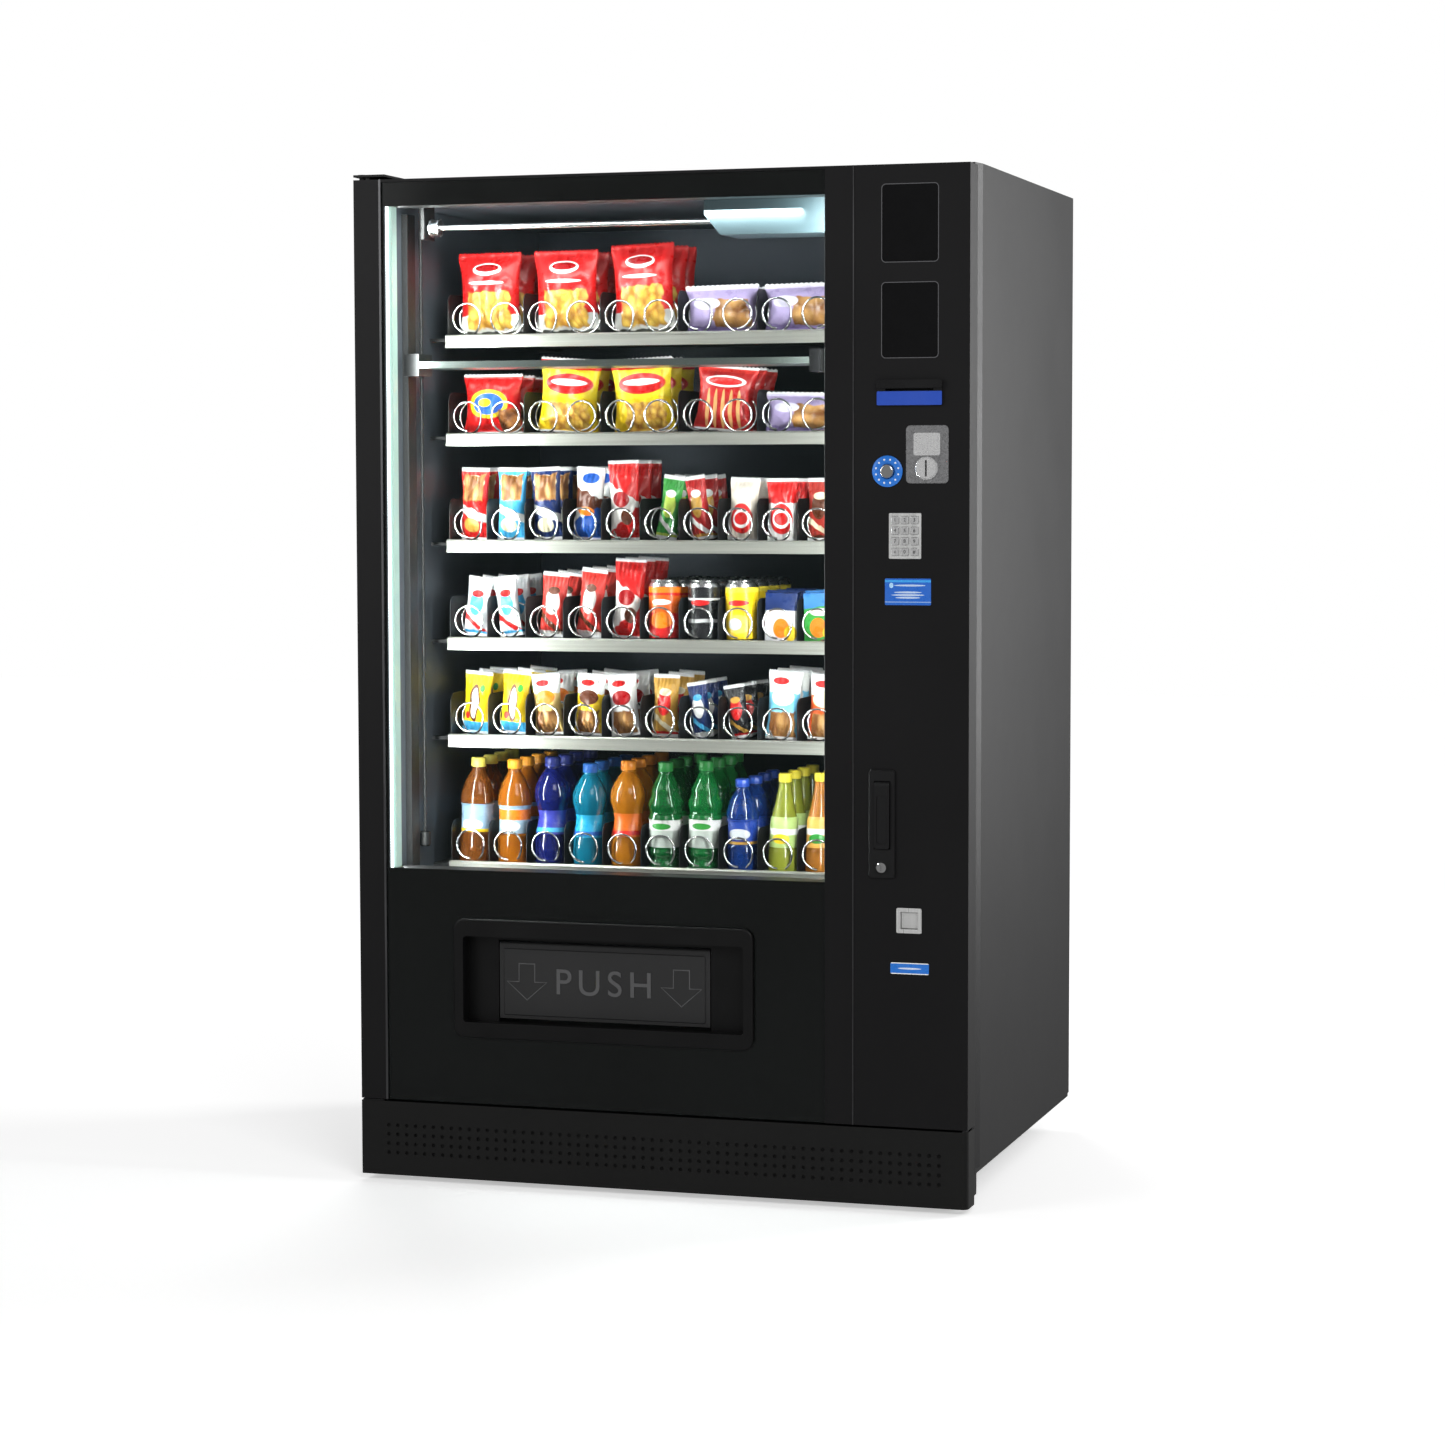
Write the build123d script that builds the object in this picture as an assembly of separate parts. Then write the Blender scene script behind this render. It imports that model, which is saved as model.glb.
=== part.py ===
from build123d import *
import math
import os

# Snack vending machine, millimetres. X runs to the right, Y to the back, Z up from the floor.
# The origin is the bottom centre of the whole machine.

# Driving dimensions
WIDTH = 1140.0
HEIGHT = 1830.0
DEPTH = 890.0
HANDLE_PROUD = 12.0
DOOR_DEPTH = 56.0
DOOR_GAP = 4.0
DOOR_BOTTOM = 150.0
DOOR_TOP = 1820.0
SIDE_BOTTOM = 69.0
SHEET = 2.0
BEVEL = 34.0
BEVEL_IN = 6.0
LAP = 30.0
CLEAR = 0.06

# Places worked out from them
LEFT = -WIDTH / 2
RIGHT = WIDTH / 2
DOOR_FRONT = -DEPTH / 2 + HANDLE_PROUD
DOOR_BACK = DOOR_FRONT + DOOR_DEPTH
CAB_FRONT = DOOR_BACK + DOOR_GAP
INLET_PROUD = 5.0
CAB_BACK = DEPTH / 2 - INLET_PROUD
CAB_TOP = HEIGHT - 5.0

# Refrigerated chamber
CHAMBER_LEFT = -520.0
CHAMBER_RIGHT = 295.0
CHAMBER_BACK = 392.0
CHAMBER_FLOOR = 535.0
CHAMBER_TOP = 1780.0
LINER = 3.0
BULKHEAD = 12.0
DECK_FRONT = -212.0

# Trays
TRAY_LEFT = -481.0
TRAY_RIGHT = 271.0
TRAY_FRONT = -218.0
TRAY_BACK = 341.5
RAIL_TOPS = (1550.0, 1368.0, 1170.0, 988.0, 806.0, 567.0)
RAIL_HEIGHT = 24.0
RAIL_DEPTH = 12.0
PAN_DROP = 4.0
PAN_SHEET = 1.5
PAN_UPSTAND = 72.0
DIVIDER = 1.2
DIVIDER_HEIGHT = 80.0
DIVIDER_NOSE = 20.0
MOTOR = (40.0, 42.0, 52.0)
COLUMNS = 10
COLUMN = (TRAY_RIGHT - TRAY_LEFT) / COLUMNS
BAG_TRAYS = (0, 1)
SNACK_TRAYS = (2, 4, 5)
SERVICE_TRAY = 3
LIVE_TRAY = 1
LIVE_COLUMN = 0

# Spirals
RING = 27.0
WIRE = 1.9
PITCH = 66.5
TURNS = 8
REACH = math.hypot(RING, PITCH / 4)
SPIRAL_GAP = 1.4
SPIRAL_FRONT = -203.0
CUP_THICK = 4.0
DRIVE_SHAFT = 4.0

# Door face, left to right
STRIP_RIGHT = -521.0
GLASS_LEFT = -517.0
GLASS_RIGHT = 312.0
PANEL_TRIM = 362.5
PANEL_LEFT = 364.5
GLASS = 4.0
GLASS_TOP = 1815.0
WINDOW_BOTTOM = 576.0
WINDOW_TOP = 1772.0
LED_CHANNEL = (-514.0, -508.0, -500.0)
HINGE_X = -558.0
HINGE_Y = DOOR_FRONT + 15.0
HINGE_PIN = 6.0

# Delivery port
PORT = (-384.5, 182.0, 272.0, 489.0)
PORT_OPENING = (-366.5, 164.0, 300.0, 457.0)
FLAP = (-306.5, 93.5, 306.0, 446.0)
FLAP_Y = DOOR_FRONT + 24.0
FLAP_THICK = 12.0
BIN_BACK = -235.0
BIN_TOP = 480.0

# Payment and lock
WINDOWS = ((413.0, 515.0, 1652.0, 1787.0), (413.0, 515.0, 1488.0, 1619.0))
WINDOW_CORNER = 8.0
FLANGE = 4.0
NECK = 4.2
BILL = (405.5, 523.0, 1407.0, 1451.0)
COIN = (457.5, 533.0, 1273.0, 1373.0)
COIN_SQUARE = (471.5, 518.5, 1321.0, 1360.0)
COIN_SLOT = (494.3, 1299.0)
CHANGER = (398.0, 514.0, -408.0, -300.0, 1020.0, 1262.0)
TUBES = (490.0, 510.0, -412.0, 9.0, 1030.0, 1120.0)
RETURN = (424.5, 1294.0)
RETURN_RADIUS = 12.0
KEYPAD = (427.5, 485.0, 1143.0, 1222.0)
KEY_SIZE = 13.0
KEY_CORNER = 1.5
KEY_PITCH_X = 17.3
KEY_PITCH_Z = 18.3
KEY_NAMES = ("1", "2", "3", "4", "5", "6", "7", "8", "9", "star", "0", "hash")
LOCK = (392.5, 439.5, 587.0, 776.0)
GRIP = (403.5, 430.5, 639.0, 756.0)
GRIP_THICK = 15.0
GRIP_GAP = 1.2
GRIP_PIN = 2.0
LOCK_BARREL = (416.5, 606.0, 9.0)
CUP = (442.0, 487.0, 492.0, 536.0)

# Base
KICK_BOTTOM = 10.0
KICK_TOP = 146.0
KICK_CORNER = 12.0
KICK_BACK = CAB_FRONT - 8.0
KICK_HOLES_AT = (1.0, 77.0)
BASE_PLATE = 3.0
BASE_RAIL = 5.0
PERFORATION = (60, 4, 17.55, 16.8, 3.5)
FEET_AT = ((-470.0, -320.0), (470.0, -320.0), (-470.0, 380.0), (470.0, 380.0))

# Lift
LIFT_Y = -313.0
LIFT_REST = 1484.0
LIFT_LOW = 490.0
LIFT_RAIL = (12.0, 36.0)
LIFT_RAIL_TOP = 1765.0
SHELF = (-478.0, 262.0)
SHELF_BACK = -236.0
SHAFT_Z = 1740.0
SHAFT_RADIUS = 5.0
SHAFT = (-484.0, 80.0)
MOTOR_COVER = (70.0, -360.0, -250.0, 1712.0)
ROD = (-505.0, -275.0, 3.0, 620.0)
KNOB = (10.0, 600.0, 628.0)

# Cooling deck
COMPRESSOR = (120.0, 190.0, 85.0)
CONDENSER = (-450.0, -150.0, -170.0, -130.0, 380.0)
FAN = (-300.0, -75.0, 235.0)
VENT_SLOT = (150.0, 6.0)
VENT_COLUMNS = (-330.0, -130.0, 70.0)
INLET = (470.0, 500.0, 110.0, 132.0)

# Depth that a cut runs past the sheet it goes through
PAST = 5.0


def block(x0, x1, y0, y1, z0, z1):
    """A box between two opposite corners."""
    return Pos((x0 + x1) / 2, (y0 + y1) / 2, (z0 + z1) / 2) * Box(x1 - x0, y1 - y0, z1 - z0)


def facing(y):
    """A plane at depth y whose normal faces the customer."""
    return Plane(origin=(0, y, 0), x_dir=(1, 0, 0), z_dir=(0, -1, 0))


def plate(rect, y0, y1, corner=0.0, grow=0.0):
    """A plate seen from the front, from rect = (left, right, bottom, top), grown on every side."""
    left, right, bottom, top = rect
    width, height = right - left + 2 * grow, top - bottom + 2 * grow
    outline = RectangleRounded(width, height, corner) if corner else Rectangle(width, height)
    return extrude(facing(y1) * Pos((left + right) / 2, (bottom + top) / 2) * outline, y1 - y0)


def disc(x, z, radius, y0, y1):
    """A round bar along Y."""
    return extrude(facing(y1) * Pos(x, z) * Circle(radius), y1 - y0)


def post(x, y, radius, z0, z1):
    """A round bar along Z."""
    return Pos(x, y, (z0 + z1) / 2) * Cylinder(radius, z1 - z0)


def bar(x0, x1, y, z, radius):
    """A round bar along X."""
    return Pos((x0 + x1) / 2, y, z) * Rot(0, 90, 0) * Cylinder(radius, x1 - x0)


def save(name, *pieces):
    """Write one node, which may hold several separate solids."""
    solids = [solid for piece in pieces for solid in piece.solids()]
    shape = solids[0] if len(solids) == 1 else Compound(children=solids)
    export_step(shape, f"parts/{name}.step")


# Cabinet

def side_panel(side):
    """Folded side skin, with a long shallow bevel and a return at its front edge."""
    points = [
        (RIGHT, CAB_BACK),
        (RIGHT, CAB_FRONT + BEVEL),
        (RIGHT - BEVEL_IN, CAB_FRONT),
        (RIGHT - LAP, CAB_FRONT),
        (RIGHT - LAP, CAB_FRONT + SHEET),
        (RIGHT - BEVEL_IN - SHEET, CAB_FRONT + SHEET),
        (RIGHT - SHEET, CAB_FRONT + BEVEL),
        (RIGHT - SHEET, CAB_BACK),
    ]
    outline = make_face(Polyline(*[(side * x, y) for x, y in points], close=True))
    return extrude(Pos(0, 0, SIDE_BOTTOM) * outline, CAB_TOP - SIDE_BOTTOM)


def top_panel():
    """Top skin between the side skins, narrowed in front by their bevels."""
    front = CAB_FRONT + SHEET
    outline = make_face(Polyline(
        (LEFT + SHEET, CAB_BACK),
        (LEFT + SHEET, CAB_FRONT + BEVEL),
        (LEFT + SHEET + BEVEL_IN, front),
        (RIGHT - SHEET - BEVEL_IN, front),
        (RIGHT - SHEET, CAB_FRONT + BEVEL),
        (RIGHT - SHEET, CAB_BACK),
        close=True,
    ))
    return extrude(Pos(0, 0, CAB_TOP - SHEET) * outline, SHEET)


def rear_panel(inlet):
    """Rear skin with rows of vent slots over the cooling deck."""
    skin = block(LEFT + SHEET, RIGHT - SHEET, CAB_BACK - SHEET, CAB_BACK, SIDE_BOTTOM, CAB_TOP - SHEET)
    width, height = VENT_SLOT
    rows, pitch, lowest, corner = 12, 18.0, 200.0, 2.9
    cut = CAB_BACK - PAST, CAB_BACK + PAST
    slots = [
        plate((x - width / 2, x + width / 2, z, z + height), *cut, corner)
        for x in VENT_COLUMNS
        for z in [lowest + pitch * row for row in range(rows)]
    ]
    return skin - slots - plate(inlet, *cut)


def base_frame():
    """Base plate, its edge rails and the arms that carry the kick plate."""
    arm, rail, arm_back, foot = 15.0, 38.0, CAB_FRONT + 60, KICK_BOTTOM + 5
    plate_bottom, rail_bottom = SIDE_BOTTOM - BASE_PLATE, SIDE_BOTTOM - BASE_PLATE - BASE_RAIL
    back = CAB_FRONT + SHEET
    rails = [
        block(x, x + rail, back, CAB_BACK, rail_bottom, plate_bottom)
        for x in (LEFT + SHEET, RIGHT - SHEET - rail)
    ]
    arms = [
        block(x, x + arm, DOOR_FRONT + SHEET, CAB_FRONT, foot, KICK_TOP - SHEET)
        + block(x, x + arm, CAB_FRONT, arm_back, foot, rail_bottom)
        for x in (LEFT + 2 * SHEET, RIGHT - KICK_CORNER - arm)
    ]
    return [block(LEFT + SHEET, RIGHT - SHEET, back, CAB_BACK, plate_bottom, SIDE_BOTTOM), *rails, *arms]


def kick_plate():
    """Perforated kick plate with a top return and a rounded return at its open end."""
    columns, rows, pitch_x, pitch_z, radius = PERFORATION
    y, right = DOOR_FRONT, RIGHT - KICK_CORNER
    sheet = plate((LEFT, right, KICK_BOTTOM, KICK_TOP), y, y + SHEET)
    holes = [
        Pos((c - (columns - 1) / 2) * pitch_x, (r - (rows - 1) / 2) * pitch_z) * Circle(radius)
        for c in range(columns)
        for r in range(rows)
    ]
    punch = extrude(facing(y + 2 * SHEET) * Pos(*KICK_HOLES_AT) * Sketch(children=holes), 3 * SHEET)
    corner = Pos(right, y + KICK_CORNER) * (Circle(KICK_CORNER) - Circle(KICK_CORNER - SHEET))
    corner &= Pos(right + KICK_CORNER / 2, y + KICK_CORNER / 2) * Rectangle(KICK_CORNER, KICK_CORNER)
    bend = extrude(Pos(0, 0, KICK_BOTTOM) * corner, KICK_TOP - KICK_BOTTOM)
    return [
        sheet - punch,
        bend,
        block(RIGHT - SHEET, RIGHT, y + KICK_CORNER, KICK_BACK, KICK_BOTTOM, KICK_TOP),
        block(LEFT, right, y + SHEET, KICK_BACK, KICK_TOP - SHEET, KICK_TOP),
    ]


def levelling_foot(x, y):
    """Threaded stem on a round pad with a softened top edge."""
    pad_radius, pad_height, edge, stem, nut_radius, nut_height, nut_z = 25.0, 12.0, 4.0, 6.0, 11.0, 9.0, 44.0
    pad = post(x, y, pad_radius, 0, pad_height)
    pad = chamfer(pad.edges().group_by(Axis.Z)[-1], edge)
    nut = extrude(Pos(x, y, nut_z) * RegularPolygon(nut_radius, 6), nut_height)
    return pad + post(x, y, stem, pad_height - SHEET, SIDE_BOTTOM - BASE_PLATE) + nut


def inner_liner():
    """Flat liner walls, the payment bulkhead and the deck over the cooling unit."""
    front = CAB_FRONT + SHEET
    back = CHAMBER_BACK + LINER
    lap = RIGHT - LAP
    door_seal = front + 8
    bulkhead_right = CHAMBER_RIGHT + BULKHEAD
    deck_back = DECK_FRONT + BULKHEAD
    return [
        block(CHAMBER_LEFT - LINER, CHAMBER_LEFT, front, back, SIDE_BOTTOM, CHAMBER_TOP),
        block(-lap, CHAMBER_LEFT - LINER, front, front + LINER, SIDE_BOTTOM, CHAMBER_TOP),
        block(CHAMBER_RIGHT, bulkhead_right, door_seal, back, SIDE_BOTTOM, CHAMBER_TOP),
        block(lap - LINER, lap, front, back, SIDE_BOTTOM, CHAMBER_TOP),
        block(CHAMBER_LEFT, CHAMBER_RIGHT, CHAMBER_BACK, back, CHAMBER_FLOOR, CHAMBER_TOP),
        block(-lap, lap, front, back, CHAMBER_TOP, CHAMBER_TOP + LINER),
        block(-lap, lap, front, front + LINER, CHAMBER_TOP + LINER, CAB_TOP - SHEET),
        block(CHAMBER_LEFT, CHAMBER_RIGHT, deck_back, CHAMBER_BACK, CHAMBER_FLOOR - LINER, CHAMBER_FLOOR),
        block(CHAMBER_LEFT, CHAMBER_RIGHT, DECK_FRONT, deck_back, SIDE_BOTTOM, CHAMBER_FLOOR - 2 * LINER),
    ]


def hinge_brackets():
    """Top and bottom door hinge plates with their pins, and the small cap on the top plate."""
    wide, deep, low_wide, thick, cap, reach = 60.0, 60.0, 44.0, 4.0, 9.0, 25.0
    top = block(LEFT, LEFT + wide, DOOR_FRONT, CAB_FRONT + deep, CAB_TOP, CAB_TOP + thick)
    top += post(HINGE_X, HINGE_Y, HINGE_PIN, DOOR_TOP - reach, CAB_TOP + SHEET)
    top += post(HINGE_X, HINGE_Y, cap, CAB_TOP + SHEET, HEIGHT)
    low = block(LEFT + SHEET, LEFT + low_wide, DOOR_FRONT + SHEET, CAB_FRONT, KICK_TOP, DOOR_BOTTOM - 1.5)
    low += post(HINGE_X, HINGE_Y, HINGE_PIN, KICK_TOP + SHEET / 2, DOOR_BOTTOM + reach)
    return [top, low]


def compressor():
    """Welded compressor can on rubber-bushed legs, with its two pipes."""
    x, y, radius = COMPRESSOR
    base, low, high, pipe_top = SIDE_BOTTOM, 22.0, 190.0, 260.0
    crown, wall, bush, leg, pipe = 22.0, 4.0, 11.0, 24.0, 5.0
    bush_x, bush_y, strap_x, strap_y, pipe_x = 62.0, 50.0, 75.0, 14.0, 30.0
    can = post(x, y, radius, base + low, base + high)
    can = fillet(can.edges(), crown)
    can -= offset(can, -wall)
    for dy in (-bush_y, bush_y):
        can += block(
            x - strap_x, x + strap_x, y + dy - strap_y, y + dy + strap_y, base + leg, base + leg + wall,
        )
        for dx in (-bush_x, bush_x):
            can += post(x + dx, y + dy, bush, base, base + leg)
    for dx in (-pipe_x, pipe_x):
        can += post(x + dx, y, pipe, base + high - wall, base + pipe_top)
    return can


def condenser():
    """Finned condenser core between its headers, and the fan motor on its bracket."""
    x0, x1, y0, y1, top = CONDENSER
    fin, pitch, header, first, proud = 2.0, 10.0, 14.0, 12.0, 2.0
    count = int((top - SIDE_BOTTOM - first) / pitch)
    fins = [
        block(x0 + header, x1 - header, y0, y1, z, z + fin)
        for z in [SIDE_BOTTOM + first + pitch * n for n in range(count)]
    ]
    ends = [
        block(x, x + header, y0 - proud, y1 + proud, SIDE_BOTTOM, top)
        for x in (x0, x1 - header)
    ]
    return fins + ends


def fan_motor():
    """Motor and foot bracket behind the condenser fan."""
    x, fan_y, z = FAN
    radius, length, foot, gap = 30.0, 60.0, 12.0, 19.0
    y0 = fan_y + gap
    y1 = y0 + length
    return disc(x, z, radius, y0, y1) + block(x - radius, x + radius, y1 - foot, y1, SIDE_BOTTOM, z)


def condenser_fan():
    """Five-bladed axial fan, blades pitched and set in a hub."""
    x, y, z = FAN
    hub, hub_front, hub_back = 26.0, 14.0, 16.0
    wide, thick, long, tip, middle, blade_pitch, blades = 60.0, 3.0, 92.0, 20.0, 68.0, 28.0, 5
    fan = disc(x, z, hub, y - hub_front, y + hub_back)
    blade = Box(wide, thick, long)
    blade = fillet(blade.edges().filter_by(Axis.Y).group_by(Axis.Z)[-1], tip)
    blade = Pos(0, 0, middle) * Rot(0, 0, blade_pitch) * blade
    for turn in range(blades):
        fan += Pos(x, y, z) * Rot(0, 360.0 / blades * turn, 0) * blade
    return fan


def power_inlet(rect):
    """Three-pin mains inlet, sunk in a flanged housing."""
    left, right, bottom, top = rect
    y, deep, floor, wall, border = CAB_BACK, 22.0, 4.0, 3.0, 7.0
    flange = plate(rect, y, y + INLET_PROUD, wall, border)
    body = plate(rect, y - deep, y + 1, 0, -0.2)
    cavity = plate(rect, y - deep + floor, y + INLET_PROUD + 1, 2, -wall)
    inlet = flange + body - cavity
    middle, level = (left + right) / 2, (bottom + top) / 2
    half_wide, half_tall = 1.0, 2.5
    for dx, dz in ((-7, -2), (7, -2), (0, 4)):
        x, z = middle + dx, level + dz
        inlet += block(x - half_wide, x + half_wide, y - deep + wall, y, z - half_tall, z + half_tall)
    return inlet


# Trays

def tray_pan(index, shafts=()):
    """Tray floor and its rear motor wall, pierced for drive shafts."""
    top = RAIL_TOPS[index] - PAN_DROP
    floor = block(TRAY_LEFT, TRAY_RIGHT, TRAY_FRONT + RAIL_DEPTH, TRAY_BACK, top - PAN_SHEET, top)
    wall = block(TRAY_LEFT, TRAY_RIGHT, TRAY_BACK - PAN_SHEET, TRAY_BACK, top, top + PAN_UPSTAND)
    for x in shafts:
        wall -= disc(x, spiral_z(index), DRIVE_SHAFT + CLEAR, TRAY_BACK - PAST, TRAY_BACK + PAST)
    return [floor, wall]


def price_rail(index):
    """Front extrusion: a flat nose with a shallow label groove and a rounded top lip."""
    top = RAIL_TOPS[index]
    low = top - RAIL_HEIGHT
    y, lip, nose, groove, toe = TRAY_FRONT, 3.0, 5.0, 1.5, 4.0
    section = make_face(Polyline(
        (y + RAIL_DEPTH, top), (y + lip, top), (y, top - lip), (y, top - nose), (y + groove, top - nose),
        (y + groove, low + toe), (y, low + toe), (y, low), (y + RAIL_DEPTH, low), close=True,
    ))
    profile = Plane(origin=(TRAY_LEFT, 0, 0), x_dir=(0, 1, 0), z_dir=(1, 0, 0)) * section
    return extrude(profile, TRAY_RIGHT - TRAY_LEFT)


def column_edges(index):
    """Where the dividers stand: every column, or every second one on the bag trays."""
    step = 2 if index in BAG_TRAYS else 1
    return [TRAY_LEFT + COLUMN * n for n in range(0, COLUMNS + 1, step)]


def divider(x, index):
    """Thin column wall, cut back and rounded at its top front corner."""
    half, gap = DIVIDER / 2, 2.0
    low = RAIL_TOPS[index] - PAN_DROP
    x = min(max(x, TRAY_LEFT + half), TRAY_RIGHT - half)
    front, back = TRAY_FRONT + RAIL_DEPTH + gap, TRAY_BACK - gap
    wall = block(x - half, x + half, front, back, low, low + DIVIDER_HEIGHT)
    corner = wall.edges().filter_by(Axis.X).group_by(Axis.Z)[-1].sort_by(Axis.Y)[0]
    return fillet(corner, DIVIDER_NOSE)


def spiral_z(index):
    return RAIL_TOPS[index] - PAN_DROP + REACH + WIRE + SPIRAL_GAP


def column_x(column):
    return TRAY_LEFT + COLUMN * (column + 0.5)


def coil(hand):
    """One wire spiral along Y: a flat ring in front, then tilted half turns, each a plane arc."""
    half = PITCH / 2
    lean = RING / math.sqrt(2)
    arcs = [
        ThreePointArc((0, 0, -RING), (-hand * lean, 0, -lean), (-hand * RING, 0, 0)),
        ThreePointArc((-hand * RING, 0, 0), (0, 0, RING), (hand * RING, 0, 0)),
    ]
    for n in range(2 * TURNS):
        side = 1 if n % 2 == 0 else -1
        x, y = hand * side * RING, half * n
        arcs.append(ThreePointArc((x, y, 0), (0, y + half / 2, -side * REACH), (-x, y + half, 0)))
    section = Plane(origin=(0, 0, -RING), z_dir=(-hand, 0, 0)) * Circle(WIRE)
    return sweep(section, path=Wire(arcs))


def spiral(column, index, shaft=False):
    """A coil set in a column, and the drive cup behind it."""
    x, z = column_x(column), spiral_z(index)
    end = SPIRAL_FRONT + PITCH * TURNS + WIRE
    cup = disc(x, z, RING + WIRE, end + 1, end + 1 + CUP_THICK)
    if shaft:
        cup += disc(x, z, DRIVE_SHAFT, end + CUP_THICK, TRAY_BACK - 0.2)
    wound = COILS[column % 2 if index in BAG_TRAYS else 0]
    return [Pos(x, SPIRAL_FRONT, z) * wound, cup]


def tray_spirals(index, skip=()):
    return [piece for c in range(COLUMNS) if c not in skip for piece in spiral(c, index)]


def tray_motors(index):
    """One gear motor behind each column, or behind each pair of columns."""
    step = 2 if index in BAG_TRAYS else 1
    width, depth, height = MOTOR
    rise = 6.0
    z = spiral_z(index) - height / 2 + rise
    return [
        block(x - width / 2, x + width / 2, TRAY_BACK, TRAY_BACK + depth, z, z + height)
        for x in [TRAY_LEFT + COLUMN * step * (n + 0.5) for n in range(COLUMNS // step)]
    ]


def tray_runner(side_x, reach, index):
    """Ledge on a chamber wall under one edge of a tray."""
    gap, thick, setback, run_on = 0.5, 6.0, 20.0, 30.0
    top = RAIL_TOPS[index] - PAN_DROP - PAN_SHEET - gap
    x0, x1 = sorted((side_x, reach))
    return block(x0, x1, TRAY_FRONT + setback, TRAY_BACK + run_on, top - thick, top)


# Lift

def lift_rails():
    """Two vertical guide rails, the shaft's bearing plate, and the belt rod with its end knob."""
    wide, deep = LIFT_RAIL
    y0, y1 = LIFT_Y - deep / 2, LIFT_Y + deep / 2
    left_rail = block(CHAMBER_LEFT, CHAMBER_LEFT + wide, y0, y1, LIFT_LOW, LIFT_RAIL_TOP)
    right_rail = block(CHAMBER_RIGHT - wide, CHAMBER_RIGHT, y0, y1, LIFT_LOW, MOTOR_COVER[3] - 1)
    x0, x1, plate_half, drop, bolt = -478.0, -472.0, 26.0, 22.0, 3.0
    bearing = block(x0, x1, LIFT_Y - plate_half, LIFT_Y + plate_half, SHAFT_Z - drop, CHAMBER_TOP)
    bearing -= bar(x0 - PAST, x1 + PAST, LIFT_Y, SHAFT_Z, SHAFT_RADIUS + CLEAR)
    for dy in (-18, 18):
        for dz in (-12, 26):
            bearing += bar(x0 - bolt, x1, LIFT_Y + dy, SHAFT_Z + dz, bolt)
    rod_x, rod_y, rod_radius, rod_low = ROD
    knob_radius, knob_low, knob_top = KNOB
    rod = post(rod_x, rod_y, rod_radius, rod_low, CHAMBER_TOP)
    knob = post(rod_x, rod_y, knob_radius, knob_low, knob_top)
    knob = fillet(knob.edges(), 4)
    return [left_rail, right_rail, bearing, rod + knob]


def lift_shaft():
    """Drive shaft under the ceiling, with a flanged belt pulley."""
    start, end = SHAFT
    pulley, flange, first, last, rim = 14.0, 17.0, start + 16, start + 34, 2.0
    shaft = bar(start, end, LIFT_Y, SHAFT_Z, SHAFT_RADIUS)
    shaft += bar(first, last, LIFT_Y, SHAFT_Z, pulley)
    for x in (first, last - rim):
        shaft += bar(x, x + rim, LIFT_Y, SHAFT_Z, flange)
    return shaft


def lift_motor_cover():
    """Ceiling cover over the lift motor, with its lower left corner cut off."""
    left, front, back, low = MOTOR_COVER
    right, top, wall, cut_x, cut_z = CHAMBER_RIGHT, CHAMBER_TOP, 3.0, 30.0, 36.0
    outline = make_face(Polyline(
        (left, top), (left, low + cut_z), (left + cut_x, low), (right, low), (right, top), close=True,
    ))
    cover = extrude(facing(back) * outline, back - front)
    inside = make_face(Polyline(
        (left + wall, top + PAST), (left + wall, low + cut_z + 1), (left + cut_x + wall / 2, low + wall),
        (right - wall, low + wall), (right - wall, top + PAST), close=True,
    ))
    cover -= extrude(facing(back - wall) * inside, back - front - 2 * wall)
    return cover - bar(left - PAST, left + cut_x, LIFT_Y, SHAFT_Z, SHAFT_RADIUS + CLEAR)


def lift_platform():
    """Shelf with front and rear bars between two carriages that run on the guide rails."""
    left, right = SHELF
    low, back = LIFT_REST, SHELF_BACK
    front = back - 118.0
    near_bar, far_bar, lap = 12.0, 8.0, 4.0
    deep, drop, rise = 63.0, 14.0, 26.0
    wall = LIFT_RAIL[0] + 1
    shelf = block(left, right, front + lap / 2, back, low, low + SHEET)
    shelf += block(left, right, front, front + lap, low, low + near_bar)
    shelf += block(left, right, back - lap, back, low, low + far_bar)
    shelf += block(CHAMBER_LEFT + wall, left, front, front + deep, low - drop, low + rise)
    return shelf + block(right, CHAMBER_RIGHT - wall, front, front + deep, low - drop, low + rise)


# Door

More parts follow.
